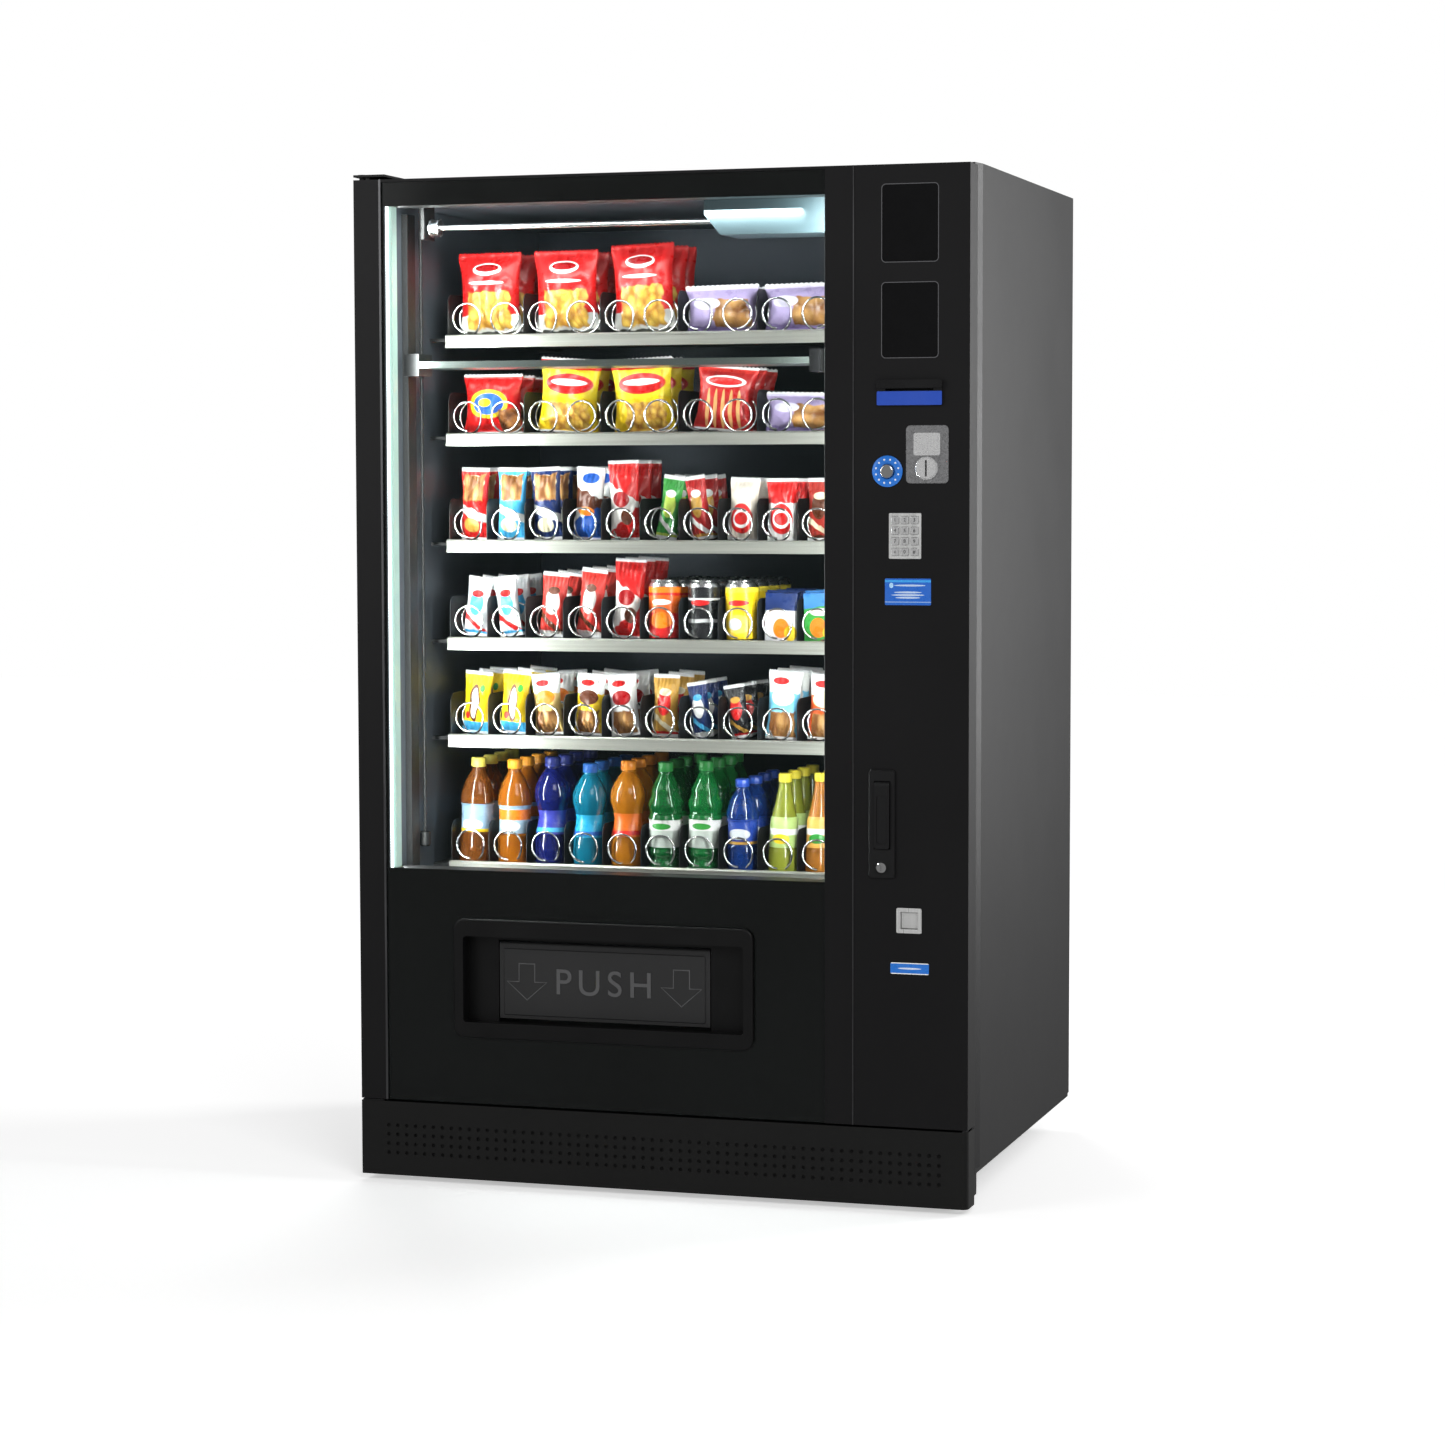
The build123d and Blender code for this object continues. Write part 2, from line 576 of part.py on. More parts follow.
def door_frame():
    """Stiles, rails and the backing sheet of the lower panel."""
    behind = DOOR_FRONT + GLASS
    low, high = DOOR_BOTTOM, DOOR_TOP
    socket, foot_rail, mid_rail, head_rail, edge = 28.0, 40.0, 30.0, 20.0, RIGHT - 4 * SHEET
    stile = block(LEFT, STRIP_RIGHT, DOOR_FRONT, DOOR_BACK, low, high)
    for z0, z1 in ((low - PAST, low + socket), (high - socket, high + PAST)):
        stile -= post(HINGE_X, HINGE_Y, HINGE_PIN + CLEAR, z0, z1)
    middle = WINDOW_BOTTOM - mid_rail
    backing = block(GLASS_LEFT, GLASS_RIGHT, behind, behind + SHEET, low + foot_rail, middle)
    backing -= plate(PORT_OPENING, behind - PAST, behind + PAST, 0, 5)
    return [
        stile,
        block(GLASS_RIGHT, PANEL_TRIM, DOOR_FRONT, DOOR_BACK, low, high),
        block(edge, RIGHT, behind, DOOR_BACK, low, high),
        block(GLASS_LEFT, GLASS_RIGHT, behind, DOOR_BACK, WINDOW_TOP, high),
        block(GLASS_LEFT, GLASS_RIGHT, DOOR_FRONT, behind, GLASS_TOP, high),
        block(GLASS_LEFT, GLASS_RIGHT, behind, DOOR_BACK, low, low + foot_rail),
        block(GLASS_LEFT, GLASS_RIGHT, behind, DOOR_BACK, middle, WINDOW_BOTTOM),
        block(PANEL_LEFT, edge, behind, DOOR_BACK, high - head_rail, high),
        block(PANEL_LEFT, edge, behind, DOOR_BACK, low, low + foot_rail),
        backing,
    ]


def door_glass():
    """Full-height glass, cut out around the delivery port."""
    pane = plate((GLASS_LEFT, GLASS_RIGHT, DOOR_BOTTOM, GLASS_TOP), DOOR_FRONT, DOOR_FRONT + GLASS)
    return pane - plate(PORT_OPENING, DOOR_FRONT - PAST, DOOR_FRONT + GLASS + PAST, 6, 4)


def door_trims():
    """Bright edge strips either side of the glass."""
    front, back = DOOR_FRONT - 1.2, DOOR_FRONT + 30
    return [
        plate((left, right, DOOR_BOTTOM, DOOR_TOP), front, back)
        for left, right in ((STRIP_RIGHT, GLASS_LEFT), (PANEL_TRIM, PANEL_LEFT))
    ]


def control_panel():
    """Front sheet of the payment column, with every cut-out."""
    y0, y1 = DOOR_FRONT, DOOR_FRONT + GLASS
    sheet = plate((PANEL_LEFT, RIGHT, DOOR_BOTTOM, DOOR_TOP), y0, y1)
    cut = y0 - PAST, y1 + PAST
    for rect in WINDOWS:
        sheet -= plate(rect, *cut, WINDOW_CORNER)
    for rect in (BILL, COIN, KEYPAD, LOCK, CUP):
        sheet -= plate(rect, *cut, 0, -FLANGE)
    return sheet - disc(*RETURN, RETURN_RADIUS + 0.5, *cut)


def payment_window(rect):
    """Sunk dark pane with a fine raised edge."""
    y, fit, sunk, proud, rim_width = DOOR_FRONT, 0.1, 1.5, 0.4, 1.5
    corner = WINDOW_CORNER - fit
    pane = plate(rect, y + sunk, y + GLASS, corner, -fit)
    rim = plate(rect, y - proud, y + SHEET, corner, -fit)
    rim -= plate(rect, y - PAST, y + SHEET, WINDOW_CORNER - rim_width, -rim_width)
    return pane + rim


def bill_acceptor():
    """Note validator: hooded bezel with a slot, and the body behind the panel."""
    left, right, bottom, top = BILL
    y, corner = DOOR_FRONT, 3.0
    hood_drop, hood_proud, mouth_drop, mouth_proud = 14.0, 9.0, 12.0, 5.0
    slot_in, slot_low, slot_high, slot_deep, body_deep = 16.0, 19.0, 15.0, 30.0, 120.0
    hood = plate((left, right, top - hood_drop, top), y - hood_proud, y, corner)
    mouth = plate((left + 1, right - 1, bottom, top - mouth_drop), y - mouth_proud, y, corner)
    slot = (left + slot_in, right - slot_in, top - slot_low, top - slot_high)
    neck = plate(BILL, y - 1, y + 2 * GLASS, 0, -NECK)
    body = plate((left + 4, right - 8, bottom - 30, top + 20), y + GLASS, y + body_deep)
    return hood + mouth + neck + body - plate(slot, y - hood_proud, y + slot_deep)


def coin_plate():
    """Stainless coin entry plate with an embossed square and a slotted boss."""
    y = DOOR_FRONT
    x, z = COIN_SLOT
    proud, corner, edge, embossed, field = 2.0, 8.0, 0.8, 3.0, 2.4
    boss_radius, boss_proud, boss_edge, slot_half, slot_reach = 20.0, 7.0, 2.5, 1.6, 14.0
    face = plate(COIN, y - proud, y, corner)
    face = chamfer(face.edges().group_by(Axis.Y)[0], edge)
    face += plate(COIN_SQUARE, y - embossed, y - 1, FLANGE)
    face -= plate(COIN_SQUARE, y - PAST, y - field, 2, -FLANGE)
    boss = disc(x, z, boss_radius, y - boss_proud, y - 1)
    boss = chamfer(boss.edges().group_by(Axis.Y)[0], boss_edge)
    neck = plate(COIN, y - 1, y + GLASS + SHEET, 0, -NECK)
    slot = (x - slot_half, x + slot_half, z - slot_reach, z + slot_reach)
    return face + boss + neck - plate(slot, y - boss_proud - PAST, y + 6 * PAST)


def coin_mechanism():
    """Coin changer body with its tube cassette, hung behind the panel."""
    near, far, y, radius, low, high = TUBES
    body = block(*CHANGER)
    for x in (near, far):
        body += post(x, y, radius, low, high)
    return body


def coin_return_button():
    """Round push button with a domed cap and a retaining flange."""
    y, proud, reach, dome, flange = DOOR_FRONT, 8.0, 12.0, 3.0, 3.0
    button = disc(*RETURN, RETURN_RADIUS, y - proud, y + reach)
    button = fillet(button.edges().group_by(Axis.Y)[0], dome)
    return button + disc(*RETURN, RETURN_RADIUS + flange, y + reach, y + reach + SHEET)


def key_centre(index):
    column, row = index % 3, index // 3
    left, right, bottom, top = KEYPAD
    return (left + right) / 2 + (column - 1) * KEY_PITCH_X, (bottom + top) / 2 + (1.5 - row) * KEY_PITCH_Z


def square(x, z, half):
    return (x - half, x + half, z - half, z + half)


def keypad_plate():
    """Metal keypad surround with a square hole for each key, and the switch board behind."""
    y, proud, edge, gap, board_y = DOOR_FRONT, 2.0, 0.6, 0.4, DOOR_FRONT + 12
    face = plate(KEYPAD, y - proud, y, proud)
    face = chamfer(face.edges().group_by(Axis.Y)[0], edge)
    pad = face + plate(KEYPAD, y - 1, y + 3, 0, -NECK)
    for index in range(len(KEY_NAMES)):
        hole = square(*key_centre(index), KEY_SIZE / 2 + gap)
        pad -= plate(hole, y - PAST, y + PAST, KEY_CORNER + gap / 4)
    return [pad, plate(KEYPAD, board_y, board_y + SHEET, 0, -NECK)]


def key(index):
    """One square key with a softened cap and its stem."""
    x, z = key_centre(index)
    y, proud, skirt, edge, stem, stem_end = DOOR_FRONT, 4.5, 4.0, 0.9, 3.0, 9.0
    cap = plate(square(x, z, KEY_SIZE / 2), y - proud, y + skirt, KEY_CORNER)
    cap = fillet(cap.edges().group_by(Axis.Y)[0], edge)
    return cap + disc(x, z, stem, y + skirt - 1, y + stem_end)


def lock_escutcheon():
    """Long lock plate with the handle's recess, the barrel's bore and the handle's pin."""
    y, proud, corner, edge, deep, recess = DOOR_FRONT, 5.0, 6.0, 1.5, 26.0, 9.0
    face = plate(LOCK, y - proud, y, corner)
    face = chamfer(face.edges().group_by(Axis.Y)[0], edge)
    body = face + plate(LOCK, y - 1, y + deep, 0, -NECK)
    body -= plate(GRIP, y - recess, y + recess, 1, GRIP_GAP)
    x, z, radius = LOCK_BARREL
    body -= disc(x, z, radius + CLEAR, y - proud - PAST, y + deep + PAST)
    pin_z = GRIP[3] - GRIP_THICK / 2
    return [body, bar(GRIP[0] - GRIP_GAP, GRIP[1] + GRIP_GAP, grip_y(), pin_z, GRIP_PIN)]


def grip_y():
    """Depth of the handle's middle."""
    return DOOR_FRONT - 10 + GRIP_THICK / 2


def lock_handle():
    """Pop-out grip, rounded about its pivot, hollowed on its finger side."""
    left, right, bottom, top = GRIP
    y, half = grip_y(), GRIP_THICK / 2
    foot, side, groove_deep, groove_low, groove_top, groove_corner = 4.0, 4.0, 1.5, 8.0, 24.0, 5.0
    wall, hollow_low, hollow_top = 3.0, 6.0, 30.0
    grip = block(left, right, y - half, y + half, bottom, top - half)
    grip = fillet(grip.edges().filter_by(Axis.Y).group_by(Axis.Z)[0], foot)
    grip += bar(left, right, y, top - half, half)
    face = y - half
    groove = block(
        left + side, right - side, face - 1, face + groove_deep, bottom + groove_low, top - groove_top,
    )
    grip -= fillet(groove.edges().filter_by(Axis.Y), groove_corner)
    grip -= block(left + wall, right - wall, y + 1, y + half + 1, bottom + hollow_low, top - hollow_top)
    return grip - bar(left - PAST, right + PAST, y, top - half, GRIP_PIN + CLEAR)


def lock_cylinder():
    """Lock barrel with its key slot and rear cam."""
    x, z, radius = LOCK_BARREL
    y, reach, cam, cam_reach, cam_thick, slot, key_way = DOOR_FRONT, 30.0, 6.0, 26.0, 3.0, 1.2, 4.0
    barrel = disc(x, z, radius, y - HANDLE_PROUD, y + reach)
    barrel = chamfer(barrel.edges().group_by(Axis.Y)[0], 1)
    barrel += block(x - cam, x + cam, y + reach, y + reach + cam_thick, z - cam_reach, z + cam)
    return barrel - block(x - slot, x + slot, y - 2 * HANDLE_PROUD, y - key_way, z - PAST, z + PAST)


def coin_cup():
    """Stainless coin return cup with a flanged mouth."""
    y, proud, corner, deep, wall, border = DOOR_FRONT, 2.0, 3.0, 50.0, 3.0, 7.0
    cup = plate(CUP, y - proud, y, corner) + plate(CUP, y - 1, y + deep, 0, -NECK)
    return cup - plate(CUP, y - PAST, y + deep - wall, 0, -border)


def coin_cup_flap():
    """Small inward flap across the cup's mouth, turning on a rolled top edge."""
    left, right, bottom, top = CUP
    y, inset, thick, hinge_drop, roll, roll_y = DOOR_FRONT + 4, 8.0, 1.5, 10.0, 2.2, 1.2
    flap = block(left + inset, right - inset, y, y + thick, bottom + inset, top - hinge_drop)
    return flap + bar(left + inset, right - inset, y + roll_y, top - hinge_drop, roll)


def led_strip():
    """Aluminium light channel along the window's left edge, with its diffuser."""
    y, deep, inset = DOOR_FRONT + GLASS, 32.0, 4.0
    left, middle, right = LED_CHANNEL
    channel = block(left, middle, y, y + deep, WINDOW_BOTTOM, WINDOW_TOP)
    return [channel, block(middle, right, y + inset, y + deep - inset, WINDOW_BOTTOM, WINDOW_TOP)]


def delivery_frame():
    """Moulded bezel round the port."""
    y, proud, corner, edge, inner_corner, wall = DOOR_FRONT, 6.0, 20.0, 3.0, 6.0, 3.5
    bezel = plate(PORT, y - proud, y, corner)
    bezel = fillet(bezel.edges().group_by(Axis.Y)[0], edge)
    bezel += plate(PORT_OPENING, y - 1, y + 2 * GLASS, inner_corner, wall)
    return bezel - plate(PORT_OPENING, y - proud - PAST, y + 2 * GLASS + PAST, inner_corner)


def delivery_bin():
    """Open-topped bin of flat walls, with cheeks and a header round the flap."""
    left, right, bottom, top = PORT_OPENING
    flap_left, flap_right, flap_bottom, flap_top = FLAP
    y0, wall, gap = DOOR_FRONT + 2 * GLASS, 3.0, 2.0
    y1, y2 = FLAP_Y, FLAP_Y + FLAP_THICK
    return [
        block(left, right, y0, BIN_BACK, bottom - wall, bottom),
        block(left, right, BIN_BACK - wall, BIN_BACK, bottom, BIN_TOP),
        block(left - wall, left, y0, BIN_BACK, bottom - wall, BIN_TOP),
        block(right, right + wall, y0, BIN_BACK, bottom - wall, BIN_TOP),
        block(left, flap_left - gap, y1, y2, bottom, BIN_TOP),
        block(flap_right + gap, right, y1, y2, bottom, BIN_TOP),
        block(flap_left - gap, flap_right + gap, y1, y2, flap_top + wall, BIN_TOP),
    ]


def delivery_flap():
    """Push flap with a rounded top edge and a shallow raised field."""
    left, right, bottom, top = FLAP
    y, half = FLAP_Y, FLAP_THICK / 2
    side, foot, head, proud, corner, edge, wall = 8.0, 6.0, 12.0, 2.0, 4.0, 1.5, 4.0
    flap = block(left, right, y, y + FLAP_THICK, bottom, top - half)
    flap += bar(left, right, y + half, top - half, half)
    field = plate((left + side, right - side, bottom + foot, top - head), y - proud, y + 1, corner)
    flap += chamfer(field.edges().group_by(Axis.Y)[0], edge)
    hollow = (left + side + 2, right - side - 2, bottom + side, top - 2 * side)
    return flap - plate(hollow, y + wall, y + FLAP_THICK + 1, wall - 1)


COILS = (coil(1), coil(-1))
LIVE = (LIVE_COLUMN, LIVE_COLUMN + 1)
RUNNER_REACH = 16.0

os.makedirs("parts", exist_ok=True)

save("side_panel_left", side_panel(-1))
save("side_panel_right", side_panel(1))
save("top_panel", top_panel())
save("rear_panel", rear_panel(INLET))
save("base_frame", *base_frame())
save("kick_plate", *kick_plate())
save("levelling_feet", *[levelling_foot(x, y) for x, y in FEET_AT])
save("inner_liner", *inner_liner())
save("hinge_brackets", *hinge_brackets())
save("power_inlet", power_inlet(INLET))
save("compressor", compressor())
save("condenser_coil", *condenser(), fan_motor())
save("condenser_fan", condenser_fan())

fixed_trays = [index for index in range(len(RAIL_TOPS)) if index != SERVICE_TRAY]
live_shafts = [column_x(c) for c in LIVE]
pans = [tray_pan(index, live_shafts if index == LIVE_TRAY else ()) for index in fixed_trays]
save("tray_pans", *[piece for pan in pans for piece in pan])
save("price_rails", *[price_rail(index) for index in fixed_trays])
save("tray_dividers", *[divider(x, index) for index in fixed_trays for x in column_edges(index)])
save("spiral_motors", *[motor for index in fixed_trays for motor in tray_motors(index)])
save("tray_spirals", *[
    piece for index in fixed_trays for piece in tray_spirals(index, LIVE if index == LIVE_TRAY else ())
])
save("vend_spiral_left", *spiral(LIVE[0], LIVE_TRAY, shaft=True))
save("vend_spiral_right", *spiral(LIVE[1], LIVE_TRAY, shaft=True))
save("tray_runners", *[
    tray_runner(wall, reach, index)
    for index in range(len(RAIL_TOPS))
    for wall, reach in ((CHAMBER_LEFT, TRAY_LEFT + RUNNER_REACH), (CHAMBER_RIGHT, TRAY_RIGHT - RUNNER_REACH))
])
service_dividers = [divider(x, SERVICE_TRAY) for x in column_edges(SERVICE_TRAY)]
save("service_tray", *tray_pan(SERVICE_TRAY), *service_dividers)
save("service_tray_rail", price_rail(SERVICE_TRAY))
save("service_tray_spirals", *tray_spirals(SERVICE_TRAY))
save("service_tray_motors", *tray_motors(SERVICE_TRAY))

save("lift_rails", *lift_rails())
save("lift_shaft", lift_shaft())
save("lift_motor_cover", lift_motor_cover())
save("lift_platform", lift_platform())

save("door_frame", *door_frame())
save("door_glass", door_glass())
save("door_trims", *door_trims())
save("control_panel", control_panel())
save("led_strip", *led_strip())
save("payment_windows", *[payment_window(rect) for rect in WINDOWS])
save("bill_acceptor", bill_acceptor())
save("coin_plate", coin_plate())
save("coin_mechanism", coin_mechanism())
save("coin_return_button", coin_return_button())
save("keypad_plate", *keypad_plate())
for number, name in enumerate(KEY_NAMES):
    save(f"key_{name}", key(number))
save("lock_escutcheon", *lock_escutcheon())
save("lock_handle", lock_handle())
save("lock_cylinder", lock_cylinder())
save("coin_cup", coin_cup())
save("coin_cup_flap", coin_cup_flap())
save("delivery_frame", delivery_frame())
save("delivery_bin", *delivery_bin())
save("delivery_flap", delivery_flap())
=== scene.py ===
import math
import random

import bmesh
import bpy
from mathutils import Matrix, Vector, noise


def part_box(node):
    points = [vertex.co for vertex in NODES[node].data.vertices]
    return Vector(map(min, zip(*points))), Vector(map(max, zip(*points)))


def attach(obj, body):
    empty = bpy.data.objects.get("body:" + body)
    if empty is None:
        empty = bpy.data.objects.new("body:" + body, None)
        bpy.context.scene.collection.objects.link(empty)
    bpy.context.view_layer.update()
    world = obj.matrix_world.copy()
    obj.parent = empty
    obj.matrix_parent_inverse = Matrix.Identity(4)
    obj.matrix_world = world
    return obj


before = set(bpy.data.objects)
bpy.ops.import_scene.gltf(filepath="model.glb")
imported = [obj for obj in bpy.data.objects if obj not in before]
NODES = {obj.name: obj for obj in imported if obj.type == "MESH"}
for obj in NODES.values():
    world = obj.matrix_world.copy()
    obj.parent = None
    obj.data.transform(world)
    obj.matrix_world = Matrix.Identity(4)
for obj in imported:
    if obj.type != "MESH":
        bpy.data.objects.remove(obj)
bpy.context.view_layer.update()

# Camera, placed in front of the machine and a little to its right
CAMERA_AT = (1.926, -6.213, 1.276)
CAMERA_TURN = 0.3019
CAMERA_DOWN = 0.0697
CAMERA_ROLL = 0.002
CAMERA_LENS = 85.8

# Trays and spirals, as the frame has them
TRAYS = 6
COLUMNS = 10
SERVICE_TRAY = 3
BAG_TRAYS = (0, 1)
LIVE_TRAY = 1
WIRE = 0.0019
PITCH = 0.0665
PAN_DROP = 0.004


# Materials

class Look:
    """One procedural material, with short calls for the nodes that make its pattern."""

    def __init__(self, name, color, rough=0.5, metal=0.0, specular=0.5):
        self.material = bpy.data.materials.new(name)
        self.material.use_nodes = True
        self.tree = self.material.node_tree
        self.shader = self.tree.nodes["Principled BSDF"]
        self.color = (*color, 1.0)
        self.put("Base Color", self.color)
        self.put("Roughness", rough)
        self.put("Metallic", metal)
        self.put("Specular IOR Level", specular)

    def put(self, socket, value):
        self.shader.inputs[socket].default_value = value
        return self

    def wire(self, value, socket):
        self.tree.links.new(value, self.shader.inputs[socket])
        return self

    def make(self, kind, inputs=(), **settings):
        made = self.tree.nodes.new(kind)
        for key, value in settings.items():
            setattr(made, key, value)
        for slot, value in dict(inputs).items():
            if isinstance(value, bpy.types.NodeSocket):
                self.tree.links.new(value, made.inputs[slot])
            else:
                made.inputs[slot].default_value = value
        return made

    def where(self, scale=(1, 1, 1), source="Object"):
        found = self.make("ShaderNodeTexCoord").outputs[source]
        return self.make("ShaderNodeMapping", {"Vector": found, "Scale": scale}).outputs[0]

    def noise(self, scale, detail=3.0, stretch=(1, 1, 1), source="Object"):
        vector = self.where(stretch, source)
        return self.make(
            "ShaderNodeTexNoise", {"Vector": vector, "Scale": scale, "Detail": detail}
        ).outputs["Fac"]

    def remap(self, value, low, high, to_low=0.0, to_high=1.0):
        return self.make("ShaderNodeMapRange", {
            "Value": value, "From Min": low, "From Max": high, "To Min": to_low, "To Max": to_high,
        }).outputs[0]

    def math(self, operation, a, b=0.0):
        return self.make("ShaderNodeMath", {0: a, 1: b}, operation=operation).outputs[0]

    def blend(self, share, a, b):
        return self.make("ShaderNodeMix", {"Factor": share, 6: a, 7: b}, data_type="RGBA").outputs[2]

    def bump(self, height, strength=0.2, distance=0.0005):
        bent = self.make("ShaderNodeBump", {"Height": height, "Strength": strength, "Distance": distance})
        return self.wire(bent.outputs[0], "Normal")

    def vary(self, amount, scale=4.0):
        """Slow drift of the base colour, brighter and darker by amount."""
        light = tuple(min(1.0, c * (1 + amount) + amount * 0.01) for c in self.color[:3]) + (1,)
        dark = tuple(c * (1 - amount) for c in self.color[:3]) + (1,)
        return self.wire(self.blend(self.noise(scale, 4), dark, light), "Base Color")

    def smudge(self, low, high, scale=9.0):
        """Roughness that drifts between two values, as handling leaves it."""
        return self.wire(self.remap(self.noise(scale, 5), 0.3, 0.7, low, high), "Roughness")


def powder_coat(name, color, rough, grain=900.0, depth=0.25, specular=0.25):
    look = Look(name, color, rough, 0.0, specular)
    look.vary(0.08, 2.5).smudge(rough - 0.02, rough + 0.04, 5.0)
    return look.bump(look.noise(grain, 2), depth, 0.0004).material


def brushed(name, color, rough, stretch, metal=1.0):
    look = Look(name, color, rough, metal)
    lines = look.noise(260.0, 4, stretch)
    look.wire(look.remap(lines, 0.3, 0.7, rough - 0.1, rough + 0.12), "Roughness")
    bright = tuple(min(1, c * 1.12) for c in color) + (1,)
    dull = tuple(c * 0.82 for c in color) + (1,)
    look.wire(look.blend(lines, dull, bright), "Base Color")
    return look.bump(lines, 0.12, 0.0002).material


def moulded(name, color, rough, grain=1400.0, specular=0.45):
    look = Look(name, color, rough, 0.0, specular)
    look.vary(0.12, 6.0).smudge(rough - 0.05, rough + 0.08, 14.0)
    return look.bump(look.noise(grain, 2), 0.16, 0.0003).material


def plated(name, color, rough):
    look = Look(name, color, rough, 1.0)
    return look.vary(0.06, 40.0).smudge(rough, rough + 0.1, 60.0).material


def spangled(name):
    """Zinc-flake steel plate in crystal grains, with a polished boss and a bright embossed square."""
    look = Look(name, (0.5, 0.5, 0.51), 0.3, 0.7)
    cells = look.make("ShaderNodeTexVoronoi", {"Vector": look.where(), "Scale": 420.0}).outputs["Color"]
    grey = look.make("ShaderNodeRGBToBW", {"Color": cells}).outputs[0]
    depth = look.make("ShaderNodeSeparateXYZ", {"Vector": look.where()}).outputs["Y"]
    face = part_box("control_panel")[0].y
    raised = look.remap(depth, face - 0.0024, face - 0.0021, 1.0, 0.0)
    flakes = look.blend(grey, (0.27, 0.27, 0.275, 1), (0.38, 0.38, 0.39, 1))
    look.wire(look.blend(raised, flakes, (0.88, 0.88, 0.88, 1)), "Base Color")
    look.wire(look.remap(grey, 0, 1, 0.24, 0.36), "Roughness")
    return look.bump(grey, 0.08, 0.0002).material


def clear_glass():
    """Float glass seen straight through, with a faint green body."""
    look = Look("clear_glass", (0.02, 0.03, 0.028), 0.02, 0.0, 0.5)
    look.wire(look.remap(look.noise(3.0), 0.3, 0.7, 0.08, 0.1), "Alpha")
    return look.smudge(0.01, 0.03, 5.0).material


def window_rims(name):
    """Deep black panes whose thin raised rim is a lighter satin."""
    look = Look(name, (0.003, 0.003, 0.0034), 0.14, 0.0, 0.3)
    depth = look.make("ShaderNodeSeparateXYZ", {"Vector": look.where()}).outputs["Y"]
    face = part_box("control_panel")[0].y
    rim = look.remap(depth, face - 0.0002, face, 1.0, 0.0)
    pane = look.blend(look.noise(40.0), (0.002, 0.002, 0.0022, 1), (0.004, 0.004, 0.0045, 1))
    look.wire(look.blend(rim, pane, (0.09, 0.09, 0.095, 1)), "Base Color")
    return look.wire(look.remap(rim, 0, 1, 0.12, 0.4), "Roughness").material


def gloss_print(name, color):
    """Back-printed glass: black enamel with a polished face."""
    look = Look(name, color, 0.16, 0.0, 0.35)
    return look.vary(0.3, 3.0).smudge(0.12, 0.2, 8.0).material


def liner_enamel():
    """Grey metal side walls that turn to dark navy on the rear wall; right of x = 0.29 the grey is painted
    shade, a darker copy of the same grey.
    """
    look = Look("liner_enamel", (0.2, 0.22, 0.24), 0.3, 0.5)
    place = look.make("ShaderNodeSeparateXYZ", {"Vector": look.where()})
    rear = look.remap(place.outputs["Y"], 0.386, 0.391)
    streaks = look.noise(12.0, 4, (1, 1, 0.08))
    grey = look.blend(streaks, (0.09, 0.105, 0.125, 1), (0.17, 0.19, 0.22, 1))
    navy = look.blend(look.noise(3.0), (0.0012, 0.0035, 0.009, 1), (0.003, 0.008, 0.018, 1))
    # Painted shade: right of x = 0.29 the grey turns to a darker copy of itself.
    right = look.remap(place.outputs["X"], 0.285, 0.29)
    right_painted_shade = look.blend(right, grey, (0.03, 0.035, 0.045, 1))
    look.wire(look.blend(rear, right_painted_shade, navy), "Base Color")
    return look.bump(look.noise(700.0, 2), 0.08, 0.0003).material


def led_look():
    """Grey channel edge, a row of bright diodes, and a pale green diffuser beside them."""
    look = Look("led_channel", (0.3, 0.36, 0.38), 0.35)
    place = look.make("ShaderNodeSeparateXYZ", {"Vector": look.where()}).outputs["X"]
    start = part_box("led_strip")[0].x
    lit = look.remap(place, start + 0.0042, start + 0.0046)
    past = look.remap(place, start + 0.0078, start + 0.0082)
    wave = {"Vector": look.where(), "Scale": 60.0}
    beads = look.make("ShaderNodeTexWave", wave, bands_direction="Z").outputs["Fac"]
    glow = look.math("MULTIPLY", lit, look.remap(beads, 0, 1, 3.5, 6.0))
    look.put("Emission Color", (0.88, 1.0, 0.96, 1))
    spent = look.math("MULTIPLY", past, look.remap(beads, 0, 1, 3.3, 5.8))
    look.wire(look.math("SUBTRACT", glow, spent), "Emission Strength")
    edge = look.blend(look.noise(60.0), (0.22, 0.26, 0.3, 1), (0.32, 0.36, 0.4, 1))
    return look.wire(look.blend(past, edge, (0.42, 0.66, 0.58, 1)), "Base Color").material


def lift_shelf():
    """Dark glassy shelf with a pale front edge, between black carriages."""
    look = Look("lift_shelf", (0.05, 0.06, 0.058), 0.3, 0.4)
    low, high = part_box("lift_platform")
    place = look.make("ShaderNodeSeparateXYZ", {"Vector": look.where()}).outputs["X"]
    right_end = look.remap(place, high.x - 0.0206, high.x - 0.0202)
    left_end = look.remap(place, low.x + 0.0288, low.x + 0.0292, 1.0, 0.0)
    ends = look.math("ADD", right_end, left_end)
    lines = look.noise(260.0, 4, (0.02, 1, 1))
    shelf = look.blend(lines, (0.07, 0.085, 0.08, 1), (0.12, 0.14, 0.13, 1))
    look.wire(look.blend(ends, shelf, (0.004, 0.004, 0.0045, 1)), "Base Color")
    return look.bump(lines, 0.1, 0.0002).material


def rail_aluminium():
    look = Look("rail_aluminium", (0.78, 0.78, 0.74), 0.32, 0.75)
    lines = look.noise(220.0, 3, (0.02, 1, 1))
    look.wire(look.blend(lines, (0.42, 0.42, 0.37, 1), (0.68, 0.68, 0.62, 1)), "Base Color")
    return look.bump(lines, 0.1, 0.0003).material


# Artwork for the snacks: shapes and colours only, placed by u across and v up the front

